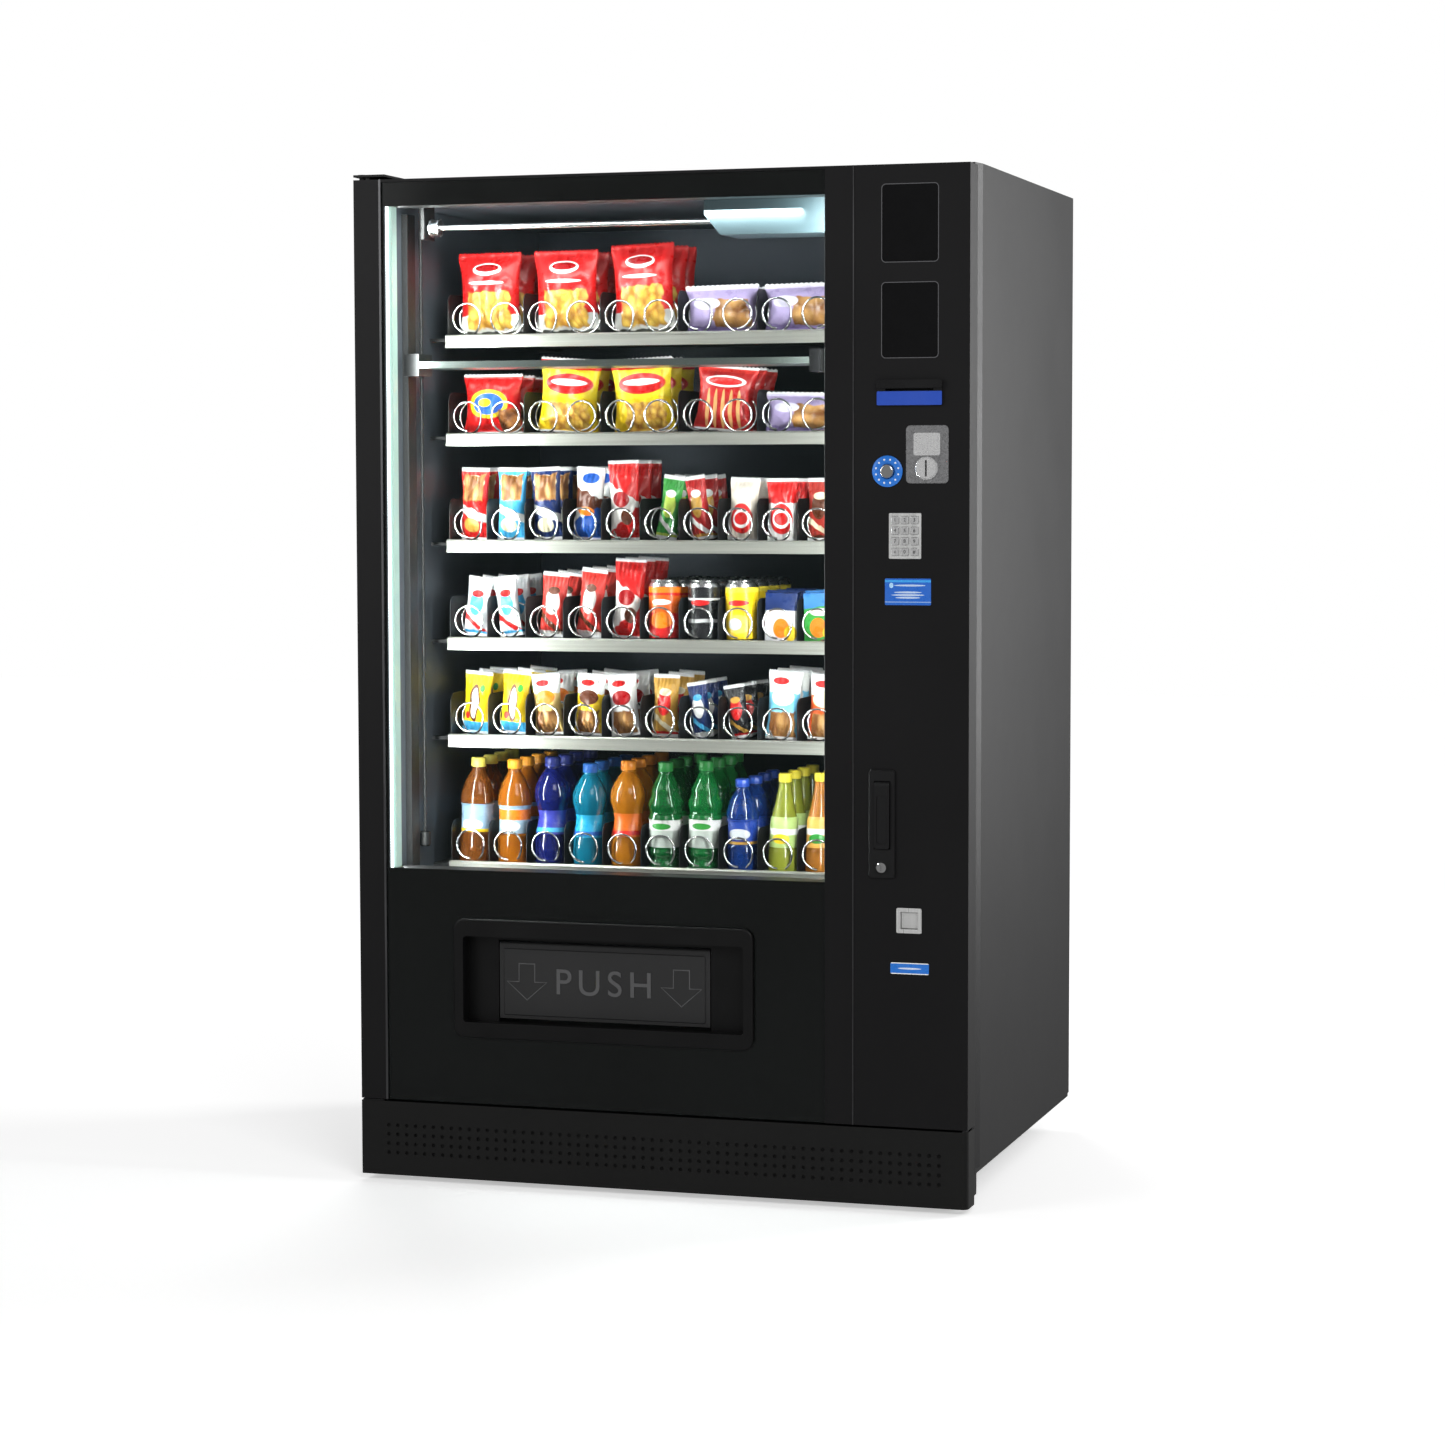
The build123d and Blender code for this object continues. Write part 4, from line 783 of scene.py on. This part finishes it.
def stock_cans():
    """Cans and cartons at the right of the service tray."""
    metal = tin("can_metal")
    paints = (
        ("can_orange", RED, [
            ("band", 0.5, 0.8, (0.75, 0.12, 0.01), 0.05), ("oval", (0.5, 0.35), (0.12, 0.14), ORANGE),
            ("band", 0.82, 0.92, ORANGE), ("oval", (0.5, 0.66), (0.1, 0.05), WHITE),
        ]),
        ("can_black", BLACK, [
            ("band", 0.7, 0.74, (0.6, 0.6, 0.6)), ("oval", (0.5, 0.66), (0.1, 0.05), RED),
            ("band", 0.34, 0.4, (0.5, 0.5, 0.5), 0.04),
        ]),
        ("can_yellow", YELLOW, [
            ("band", 0.84, 2, (0.9, 0.7, 0.05)), ("oval", (0.5, 0.3), (0.13, 0.16), (0.9, 0.72, 0.1)),
            ("oval", (0.5, 0.66), (0.11, 0.05), RED), ("oval", (0.46, 0.3), (0.07, 0.1), WHITE),
        ]),
    )
    mesh = can("can_shape", 0.062, 0.112)
    for place, (name, ground, marks) in enumerate(paints):
        paint = drink_label(name, ground, marks, 0.25)
        own = mesh.copy()
        own.name = name
        fill(SERVICE_TRAY, column_x(5 + place), name, own, [paint, metal], deep=4)
    juices = (
        ("carton_orange", (0.75, 0.76, 0.78), [
            ("band", 0.66, 2, NAVY, 0.05, 0.1), ("band", 0.5, 0.64, WHITE),
            ("oval", (0.5, 0.28), (0.24, 0.2), ORANGE), ("oval", (0.8, 0.18), (0.2, 0.16), YELLOW),
        ]),
        ("carton_green", GREEN, [
            ("band", 0.7, 2, (0.05, 0.2, 0.5), 0.05, -0.1), ("oval", (0.45, 0.3), (0.26, 0.2), ORANGE),
            ("oval", (0.5, 0.62), (0.3, 0.08), WHITE), ("oval", (0.72, 0.2), (0.14, 0.12), YELLOW),
        ]),
    )
    for place, (name, ground, marks) in enumerate(juices):
        box, print_look = carton(name, 0.06, 0.09, 0.038), drink_label(name, ground, marks, 0.3)
        fill(SERVICE_TRAY, column_x(8 + place), name, box, [print_look], turn=0.08)


def stock_bottles():
    """The bottom tray's bottles, left to right."""
    tray = TRAYS - 1
    white_label = [("band", 0.36, 0.46, (0.8, 0.8, 0.78)), ("oval", (0.5, 0.4), (0.1, 0.03), GREEN)]
    rows = (
        ("tea_brown", "straight", 0.064, 0.196, (0.3, 0.09, 0.015), (0.85, 0.75, 0.12),
         (0.3, 0.45, 0.6), [("oval", (0.5, 0.36), (0.12, 0.05), WHITE), ("band", 0.27, 0.32, YELLOW)]),
        ("tea_amber", "straight", 0.064, 0.194, (0.62, 0.18, 0.01), (0.9, 0.35, 0.02),
         (0.35, 0.5, 0.62), [("oval", (0.5, 0.36), (0.12, 0.05), WHITE), ("band", 0.42, 0.52, ORANGE)]),
        ("berry_blue", "waisted", 0.066, 0.2, (0.012, 0.02, 0.2), (0.02, 0.03, 0.2),
         (0.04, 0.05, 0.35), [("oval", (0.5, 0.24), (0.13, 0.04), WHITE), ("band", 0.3, 0.34, SKY)]),
        ("sport_teal", "waisted", 0.064, 0.19, (0.01, 0.3, 0.48), (0.02, 0.12, 0.45),
         (0.02, 0.35, 0.6), [("oval", (0.5, 0.24), (0.13, 0.04), WHITE), ("band", 0.3, 0.34, BLUE)]),
        ("orange_ade", "waisted", 0.066, 0.196, (0.8, 0.28, 0.015), (0.8, 0.25, 0.02),
         (0.7, 0.14, 0.01),
         [("oval", (0.5, 0.24), (0.13, 0.04), (0.2, 0.3, 0.5)), ("band", 0.3, 0.34, RED)]),
        ("lime_water", "dimpled", 0.064, 0.196, (0.01, 0.2, 0.045), (0.02, 0.2, 0.04),
         (0.5, 0.55, 0.5), white_label),
        ("mint_water", "dimpled", 0.064, 0.2, (0.01, 0.24, 0.05), (0.02, 0.2, 0.04),
         (0.5, 0.55, 0.5), white_label),
        ("cola_blue", "straight", 0.06, 0.168, (0.012, 0.06, 0.32), (0.02, 0.08, 0.5),
         (0.02, 0.06, 0.35),
         [("oval", (0.5, 0.4), (0.13, 0.06), (0.6, 0.62, 0.66)), ("band", 0.27, 0.32, GOLD)]),
        ("lemon_ade", "long_neck", 0.058, 0.18, (0.5, 0.55, 0.06), (0.85, 0.7, 0.05),
         (0.45, 0.6, 0.2), [("band", 0.38, 0.44, WHITE), ("oval", (0.5, 0.34), (0.1, 0.05), YELLOW)]),
        ("peach_ade", "long_neck", 0.06, 0.182, (0.8, 0.3, 0.04), (0.85, 0.7, 0.05),
         (0.75, 0.4, 0.08), [("band", 0.38, 0.44, WHITE), ("oval", (0.5, 0.34), (0.1, 0.05), GREEN)]),
    )
    for place, (name, style, width, height, color, cap, ground, marks) in enumerate(rows):
        looks = [
            drink(name, color), drink_label(name + "_label", ground, marks), cap_look(name + "_cap", cap),
        ]
        fill(tray, column_x(place), name, bottle(name, style, width, height), looks, deep=4)


# Door face: printed border, labels, legends

MOUTH_BOTTOM, MOUTH_TOP = 1.4075, 1.4315
PRINT_THICK = 0.0003
PRINT_INSET = 0.0004
PORT_INSET = 0.012
STICKER = 0.0004
RING_DOTS = 12
DOT_REACH = 0.0205
DOT_HALF = 0.0017
ARROW_ASIDE = 0.147

def rounded_outline(rect, radius, segments=6):
    """Points (x, z) round a rectangle (left, right, bottom, top) with round corners."""
    left, right, bottom, top = rect
    points = []
    for cx, cz, start in (
        (right - radius, top - radius, 0), (left + radius, top - radius, 90),
        (left + radius, bottom + radius, 180), (right - radius, bottom + radius, 270),
    ):
        for s in range(segments + 1):
            angle = math.radians(start + 90 * s / segments)
            points.append((cx + radius * math.cos(angle), cz + radius * math.sin(angle)))
    return points


def ring_sheet(name, outer, inner, y0, y1, corner):
    """A flat sheet with a round-cornered window, from (left, right, bottom, top) outlines."""
    edge, hole = rounded_outline(outer, 0.0002), rounded_outline(inner, corner)
    count = len(edge)
    vertices = [(x, y, z) for y in (y0, y1) for x, z in edge + hole]
    faces = []
    for k in range(count):
        n = (k + 1) % count
        a, b, c, d = k, n, count + n, count + k
        faces.append((a, d, c, b))
        faces.append((a + 2 * count, b + 2 * count, c + 2 * count, d + 2 * count))
        faces.append((a, b, b + 2 * count, a + 2 * count))
        faces.append((d, d + 2 * count, c + 2 * count, c))
    return finish_mesh(name, vertices, faces, smooth=False)


def round_plate(name, rect, y0, y1, corner, bevel=0.0002, segments=6):
    """A thin plate with round corners and a softened front edge."""
    left, right, bottom, top = rect
    bm = bmesh.new()
    face = bm.faces.new([bm.verts.new((x, y1, z)) for x, z in rounded_outline(rect, corner, segments)])
    moved = bmesh.ops.extrude_face_region(bm, geom=[face])["geom"]
    fronts = [g for g in moved if isinstance(g, bmesh.types.BMVert)]
    bmesh.ops.translate(bm, verts=fronts, vec=(0, y0 - y1, 0))
    front = [g for g in moved if isinstance(g, bmesh.types.BMFace)]
    bmesh.ops.bevel(bm, geom=front[0].edges[:], offset=bevel, segments=2, affect="EDGES")
    bmesh.ops.recalc_face_normals(bm, faces=bm.faces)
    mesh = bpy.data.meshes.new(name)
    bm.to_mesh(mesh)
    bm.free()
    layer = mesh.uv_layers.new(name="UVMap")
    for loop in mesh.loops:
        spot = mesh.vertices[loop.vertex_index].co
        layer.data[loop.index].uv = ((spot.x - left) / (right - left), (spot.z - bottom) / (top - bottom))
    return mesh


def washer(name, x, z, inner, outer, y0, y1, segments=64):
    """A flat ring with a bevelled face."""
    bevel = 0.0006
    profile = [(inner, y1), (inner, y0 + bevel), (inner + bevel, y0)]
    profile += [(outer - bevel, y0), (outer, y0 + bevel), (outer, y1)]
    vertices, faces = [], []
    for s in range(segments):
        angle = 2 * math.pi * s / segments
        for radius, y in profile:
            vertices.append((x + radius * math.cos(angle), y, z + radius * math.sin(angle)))
    rows = len(profile)
    for s in range(segments):
        n = (s + 1) % segments
        for p in range(rows):
            q = (p + 1) % rows
            faces.append((s * rows + p, s * rows + q, n * rows + q, n * rows + p))
    return finish_mesh(name, vertices, faces)


def curve_mesh(name, curve):
    """The mesh that a curve evaluates to, named for its piece."""
    holder = bpy.data.objects.new(name + "_curve", curve)
    bpy.context.scene.collection.objects.link(holder)
    graph = bpy.context.evaluated_depsgraph_get()
    mesh = bpy.data.meshes.new_from_object(holder.evaluated_get(graph))
    bpy.data.objects.remove(holder)
    mesh.name = name
    return mesh


def legend(name, text, size, at, depth, look, body, spacing=1.0):
    """Raised plain characters on a face that looks towards the customer."""
    curve = bpy.data.curves.new(name, "FONT")
    curve.body = text
    curve.size = size
    curve.extrude = depth
    curve.bevel_depth = depth * 0.3
    curve.space_character = spacing
    curve.align_x, curve.align_y = "CENTER", "CENTER"
    mesh = curve_mesh(name, curve)
    mesh.transform(Matrix.Rotation(math.pi / 2, 4, "X"))
    return show(mesh, name, body, at, materials=[look])


def arrow_down(name, x, z, y, look, body):
    """A raised outline of a down arrow on the flap."""
    stem, head, tall, line, depth = 0.015, 0.038, 0.066, 0.0028, 0.0018
    outline = [
        (-stem, tall / 2), (stem, tall / 2), (stem, 0.0), (head, 0.0),
        (0.0, -tall / 2), (-head, 0.0), (-stem, 0.0),
    ]
    curve = bpy.data.curves.new(name, "CURVE")
    curve.dimensions = "3D"
    spline = curve.splines.new("POLY")
    spline.points.add(len(outline) - 1)
    for point, (dx, dz) in zip(spline.points, outline):
        point.co = (x + dx, y, z + dz, 1)
    spline.use_cyclic_u = True
    curve.bevel_depth = line / 2
    curve.bevel_resolution = 2
    mesh = curve_mesh(name, curve)
    for vertex in mesh.vertices:
        vertex.co.y = y + (vertex.co.y - y) * depth / line
    return show(mesh, name, body, materials=[look])


def dress_glass(looks):
    """The black print behind the glass: a border round the window and the whole lower panel."""
    low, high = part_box("door_glass")
    window_low, window_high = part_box("led_strip")[0].z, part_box("led_strip")[1].z
    back = high.y - 0.0002
    front = back - PRINT_THICK
    left, right = low.x + PRINT_INSET, high.x - PRINT_INSET
    seam = window_low - 0.012
    window = (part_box("led_strip")[0].x + 0.002, high.x - 0.001, window_low, window_high)
    port_low, port_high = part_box("delivery_frame")
    port = (
        port_low.x + PORT_INSET, port_high.x - PORT_INSET, port_low.z + PORT_INSET, port_high.z - PORT_INSET,
    )
    for name, outer, inner, corner in (
        ("window_border", (left, right, seam, high.z - PRINT_INSET), window, 0.0005),
        ("lower_panel_print", (left, right, low.z + PRINT_INSET, seam), port, 0.004),
    ):
        sheet = ring_sheet(name, outer, inner, front, back, corner)
        show(sheet, name, "door", materials=[looks["print"]])


def dress_labels():
    """Blue labels and the ring round the coin return button, with blank bars in place of words."""
    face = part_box("control_panel")[0].y
    pad_low, pad_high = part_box("keypad_plate")
    centre = (pad_low.x + pad_high.x) / 2
    info = Artwork("info_label", (0.02, 0.13, 0.55), 0.25)
    info.band(0.86, 0.94, (0.05, 0.35, 0.8)).band(0.1, 0.13, (0.3, 0.45, 0.75))
    info.oval((0.14, 0.74), (0.045, 0.1), (0.4, 0.65, 0.9))
    for middle, reach, level in (
        (0.54, 0.34, 0.74), (0.5, 0.3, 0.48), (0.5, 0.36, 0.38), (0.5, 0.27, 0.28),
    ):
        info.oval((middle, level), (reach, 0.035), (0.5, 0.62, 0.82))
    rect = (centre - 0.036, centre + 0.046, pad_low.z - 0.08, pad_low.z - 0.034)
    show(round_plate("info_label", rect, face - STICKER, face, 0.002, 0.0001), "info_label", "door",
         materials=[info.done(0.05)])
    cup_low, cup_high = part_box("coin_cup")
    change = Artwork("change_label", (0.015, 0.16, 0.6), 0.25)
    change.oval((0.5, 0.5), (0.3, 0.08), (0.6, 0.68, 0.85)).band(-1, 0.08, WHITE).band(0.92, 2, WHITE)
    rect = (cup_low.x - 0.011, cup_high.x + 0.013, cup_low.z - 0.072, cup_low.z - 0.052)
    show(round_plate("change_label", rect, face - STICKER, face, 0.003, 0.0001), "change_label", "door",
         materials=[change.done(0.05)])
    button_low, button_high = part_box("coin_return_button")
    x, z = (button_low.x + button_high.x) / 2, (button_low.z + button_high.z) / 2
    ring = Look("return_ring", (0.015, 0.16, 0.6), 0.3)
    ring.vary(0.1, 60.0).smudge(0.25, 0.38, 80.0)
    show(washer("return_ring", x, z, 0.0128, 0.0272, face - 0.0022, face), "return_ring", "door",
         materials=[ring.material])
    dots = Look("return_ring_marks", (0.75, 0.8, 0.88), 0.4)
    dots.vary(0.05, 90.0)
    for n in range(RING_DOTS):
        angle = 2 * math.pi * (n + 0.5) / RING_DOTS
        dot_x, dot_z = x + DOT_REACH * math.cos(angle), z + DOT_REACH * math.sin(angle)
        rect = (dot_x - DOT_HALF, dot_x + DOT_HALF, dot_z - DOT_HALF, dot_z + DOT_HALF)
        name = f"return_mark_{n + 1}"
        mark = round_plate(name, rect, face - 0.0025, face - 0.0021, 0.0016, 0.0001, 4)
        show(mark, name, "door", materials=[dots.material])


def dress_bill_mouth(look):
    """Blue lit mouth of the note validator, under its hood."""
    low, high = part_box("bill_acceptor")
    rect = (low.x + 0.001, high.x - 0.001, MOUTH_BOTTOM, MOUTH_TOP)
    front = low.y + 0.004
    mesh = round_plate("bill_mouth", rect, front - 0.0006, front, 0.002, 0.0003)
    show(mesh, "bill_mouth", "door", materials=[look])


def dress_keys(look):
    for name, text in [(str(n), str(n)) for n in range(10)] + [("star", "*"), ("hash", "#")]:
        low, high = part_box(f"key_{name}")
        drop = 0.0022 if text == "*" else 0.0
        at = ((low.x + high.x) / 2, low.y, (low.z + high.z) / 2 - drop)
        legend(f"key_legend_{name}", text, 0.0085, at, 0.00015, look, f"button_{name}")


def dress_flap(look):
    low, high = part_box("delivery_flap")
    middle = ((low.x + high.x) / 2, low.y, (low.z + high.z) / 2 - 0.002)
    # The lettering and arrows carry the lighter flap_legend grey, a painted highlight on the raised
    # moulding.
    legend("flap_legend", "PUSH", 0.066, middle, 0.0008, look, "flap", 1.3)
    for side in (-1, 1):
        arrow_down(f"flap_arrow_{side + 2}", middle[0] + side * ARROW_ASIDE, middle[2], low.y, look, "flap")


def dust_filter():
    """Near-black sheet behind the perforated kick plate, painted shade that keeps the holes dark."""
    low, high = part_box("kick_plate")
    # Painted shade: a near-black sheet put behind the holes, where there is only shade.
    sheet_look = Look("painted_shade_sheet", (0.006, 0.006, 0.006), 0.9)
    sheet_look.vary(0.3, 300.0).bump(sheet_look.noise(900.0, 3), 0.6, 0.001)
    box = (low.x + 0.022, low.y + 0.004, low.z + 0.012), (high.x - 0.045, low.y + 0.012, high.z - 0.01)
    show(rounded_slab("dust_filter", *box, 0.002), "dust_filter", "cabinet", materials=[sheet_look.material])


def screw(name, at, radius, look, body):
    """A domed cross-slot screw head facing the customer."""
    x, y, z = at
    profile = [(0.0004, y - radius * 0.45), (radius * 0.6, y - radius * 0.4)]
    profile += [(radius * 0.92, y - radius * 0.2), (radius, y)]
    vertices, faces = [], []
    segments = 24
    for s in range(segments):
        angle = 2 * math.pi * s / segments
        for ring, (reach, depth) in enumerate(profile):
            slot = min(abs(math.sin(angle)), abs(math.cos(angle))) < 0.25 and ring < 2
            sunk = radius * 0.3 if slot else 0
            vertices.append((x + reach * math.cos(angle), depth + sunk, z + reach * math.sin(angle)))
    for s in range(segments):
        n = (s + 1) % segments
        for p in range(len(profile) - 1):
            a = s * len(profile) + p
            b = n * len(profile) + p
            faces.append((a, b, b + 1, a + 1))
    return show(finish_mesh(name, vertices, faces), name, body, materials=[look])


def dress_screws(look):
    """Screws in three columns over the rear panel."""
    low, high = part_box("rear_panel")
    count = 0
    for x in (low.x + 0.02, 0.0, high.x - 0.02):
        for z in (low.z + 0.06, 0.62, 1.2, high.z - 0.04):
            count += 1
            piece = screw(f"rear_screw_{count}", (0, 0, 0), 0.005, look, "cabinet")
            piece.data.transform(Matrix.Translation((x, high.y, z)) @ Matrix.Rotation(math.pi, 4, "Z"))


# Finishes of the CAD nodes

def paint_nodes(looks):
    groups = {
        "powder": (
            "side_panel_left", "side_panel_right", "top_panel", "rear_panel", "base_frame", "hinge_brackets",
        ),
        "kick": ("kick_plate",),
        "liner": ("inner_liner",),
        "pan": ("tray_pans", "service_tray"),
        "door": ("door_frame", "control_panel"),
        "lock": ("lock_escutcheon", "lock_handle"),
        "trim": ("door_trims",),
        "glass": ("door_glass",),
        "led": ("led_strip",),
        "rail": ("price_rails", "service_tray_rail"),
        "divider": (
            "tray_dividers", "spiral_motors", "service_tray_motors", "condenser_fan", "power_inlet",
        ),
        "wire": ("tray_spirals", "service_tray_spirals", "vend_spiral_left", "vend_spiral_right"),
        "dark_metal": ("compressor", "condenser_coil"),
        "runner_black": ("lift_rails", "tray_runners"),
        "lift": ("lift_platform",),
        "shaft": ("lift_shaft",),
        "cover": ("lift_motor_cover", "coin_mechanism"),
        "windows": ("payment_windows",),
        "gloss": ("bill_acceptor",),
        "spangle": ("coin_plate",),
        "steel": ("keypad_plate", "coin_cup", "coin_cup_flap"),
        "chrome": ("coin_return_button", "lock_cylinder"),
        "port": ("delivery_frame", "delivery_bin"),
        "flap": ("delivery_flap",),
        "rubber": ("levelling_feet",),
    }
    groups["key"] = tuple(name for name in NODES if name.startswith("key_"))
    for look, names in groups.items():
        for name in names:
            NODES[name].data.materials.clear()
            NODES[name].data.materials.append(looks[look])


def finishes():
    upright, across = (1, 1, 0.02), (0.02, 1, 1)
    return {
        "powder": powder_coat("cabinet_powder", (0.011, 0.011, 0.0115), 0.44, 800.0, 0.2),
        "kick": powder_coat("kick_powder", (0.0075, 0.0075, 0.0073), 0.46, 900.0, 0.2),
        "door": powder_coat("door_powder", (0.0055, 0.0053, 0.0058), 0.42, 1000.0, 0.15),
        "lock": powder_coat("lock_powder", (0.008, 0.008, 0.0085), 0.45, 1200.0, 0.2),
        "liner": liner_enamel(),
        "pan": powder_coat("pan_enamel", (0.02, 0.022, 0.025), 0.4, 900.0, 0.1),
        "trim": brushed("edge_trim", (0.16, 0.16, 0.165), 0.3, upright),
        "glass": clear_glass(),
        "print": gloss_print("black_print", (0.002, 0.0019, 0.0018)),
        "led": led_look(),
        "rail": rail_aluminium(),
        "divider": moulded("divider_black", (0.008, 0.008, 0.009), 0.4),
        "wire": plated("spiral_wire", (0.78, 0.78, 0.78), 0.18),
        "dark_metal": powder_coat("dark_enamel", (0.02, 0.021, 0.022), 0.4, 700.0, 0.2),
        "lift": lift_shelf(),
        "shaft": brushed("shaft_steel", (0.7, 0.7, 0.7), 0.25, across),
        "cover": moulded("cover_grey", (0.052, 0.082, 0.094), 0.4),
        "runner_black": moulded("runner_black", (0.004, 0.004, 0.0045), 0.5),
        "windows": window_rims("window_panes"),
        "gloss": moulded("gloss_black", (0.006, 0.006, 0.0065), 0.25, 500.0, 0.4),
        "spangle": spangled("coin_plate_steel"),
        "steel": brushed("plate_steel", (0.78, 0.78, 0.77), 0.34, upright, 0.55),
        "key": brushed("key_steel", (0.7, 0.7, 0.7), 0.3, upright, 0.6),
        "chrome": plated("polished_chrome", (0.8, 0.8, 0.8), 0.1),
        "port": moulded("port_moulding", (0.0035, 0.0035, 0.0037), 0.35, 1400.0, 0.3),
        "flap": moulded("flap_moulding", (0.02, 0.02, 0.0205), 0.5, 900.0),
        "rubber": moulded("foot_rubber", (0.02, 0.02, 0.02), 0.7),
        "legend": moulded("legend_black", (0.01, 0.01, 0.01), 0.5),
        # The flap legend is a lighter grey than the flap moulding: painted highlight on the raised lettering
        # and arrows.
        "flap_legend": moulded("flap_legend", (0.085, 0.085, 0.087), 0.4),
        "bill": moulded("bill_blue", (0.02, 0.07, 0.42), 0.3, 400.0),
        "screw": plated("screw_zinc", (0.5, 0.5, 0.5), 0.3),
    }


# Studio

def stage_floor():
    """Plain pale floor, wide enough to run out of the picture on every side, glowing with painted light that
    grows away from the middle.
    """
    reach, cells = 14.0, 28
    step = 2 * reach / cells
    lines = [-reach + step * n for n in range(cells + 1)]
    vertices = [(x, y, 0.0) for y in lines for x in lines]
    look = Look("stage_floor", (0.93, 0.93, 0.93), 0.9, 0.0, 0.1)
    look.vary(0.01, 1.0).put("Emission Color", (1, 1, 1, 1))
    # Painted light: the floor glows at strength 0.45 within 2 m of the middle, rising to 0.82 at 6 m and
    # beyond.
    away = look.make("ShaderNodeVectorMath", {0: look.where()}, operation="LENGTH").outputs["Value"]
    look.wire(look.remap(away, 2.0, 6.0, 0.45, 0.82), "Emission Strength")
    mesh = finish_mesh("stage_floor", vertices, grid_faces(cells + 1, cells + 1))
    mesh.materials.append(look.material)
    piece = bpy.data.objects.new("stage_floor", mesh)
    bpy.context.scene.collection.objects.link(piece)
    piece.visible_glossy = False


def world_light(seen, cast):
    """White to the camera, dimmer as light, so that black faces stay black."""
    world = bpy.data.worlds.new("studio")
    world.use_nodes = True
    tree = world.node_tree
    tree.nodes.clear()
    path = tree.nodes.new("ShaderNodeLightPath")
    mix = tree.nodes.new("ShaderNodeMixShader")
    out = tree.nodes.new("ShaderNodeOutputWorld")
    for slot, strength in ((1, cast), (2, seen)):
        back = tree.nodes.new("ShaderNodeBackground")
        back.inputs["Color"].default_value = (1, 1, 1, 1)
        back.inputs["Strength"].default_value = strength
        tree.links.new(back.outputs[0], mix.inputs[slot])
    tree.links.new(path.outputs["Is Camera Ray"], mix.inputs[0])
    tree.links.new(mix.outputs[0], out.inputs[0])
    bpy.context.scene.world = world


def area_light(name, at, aim, size, power, color=(1, 1, 1)):
    data = bpy.data.lights.new(name, "AREA")
    data.shape = "RECTANGLE"
    data.size, data.size_y = size
    data.energy = power
    data.color = color
    light = bpy.data.objects.new(name, data)
    bpy.context.scene.collection.objects.link(light)
    light.location = at
    light.rotation_euler = (Vector(aim) - Vector(at)).to_track_quat("-Z", "Y").to_euler()
    light.visible_camera = False
    return light


def light_inside():
    """Cold light from the door's strip on the left, and softer light from above and from the right."""
    low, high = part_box("led_strip")
    tall = high.z - low.z
    middle = (low.z + high.z) / 2
    cold = (0.93, 1.0, 0.98)
    strip_at = (high.x + 0.006, high.y - 0.012, middle)
    area_light("strip_light", strip_at, (0.35, 0.05, middle), (0.02, tall), 11, cold)
    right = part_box("door_glass")[1].x - 0.02
    area_light("right_light", (right, high.y, middle), (-0.25, 0.1, middle), (0.02, tall), 5, cold)
    area_light("top_light", (-0.1, high.y + 0.03, high.z - 0.02), (-0.1, 0.05, 0.9), (0.7, 0.03), 2.5, cold)


def light_outside():
    area_light("key_light", (2.6, -4.2, 3.4), (0, 0, 0.9), (2.2, 2.2), 90)
    area_light("fill_light", (-3.2, -4.0, 2.4), (0, 0, 0.9), (2.0, 2.6), 45)
    area_light("side_light", (3.0, 2.4, 1.5), (0.57, 0.35, 0.9), (1.2, 2.4), 95)
    area_light("back_light", (-1.5, 2.9, 3.4), (0, 0.4, 1.2), (2.0, 1.2), 50)


def place_camera():
    data = bpy.data.cameras.new("camera")
    data.sensor_width = 36.0
    data.lens = CAMERA_LENS
    camera = bpy.data.objects.new("camera", data)
    bpy.context.scene.collection.objects.link(camera)
    camera.location = CAMERA_AT
    camera.rotation_euler = (math.pi / 2 - CAMERA_DOWN, CAMERA_ROLL, CAMERA_TURN)
    bpy.context.scene.camera = camera


place_camera()
stage_floor()
world_light(1.0, 0.2)
bpy.context.scene.view_settings.view_transform = "Standard"
light_outside()
light_inside()

LOOKS = finishes()
paint_nodes(LOOKS)
dress_glass(LOOKS)
dress_labels()
dress_bill_mouth(LOOKS["bill"])
dress_keys(LOOKS["legend"])
dress_flap(LOOKS["flap_legend"])
dress_screws(LOOKS["screw"])
dust_filter()

ART = wrapper_art()
stock_bags(ART)
stock_bars(ART)
stock_cans()
stock_bottles()

bpy.context.view_layer.update()
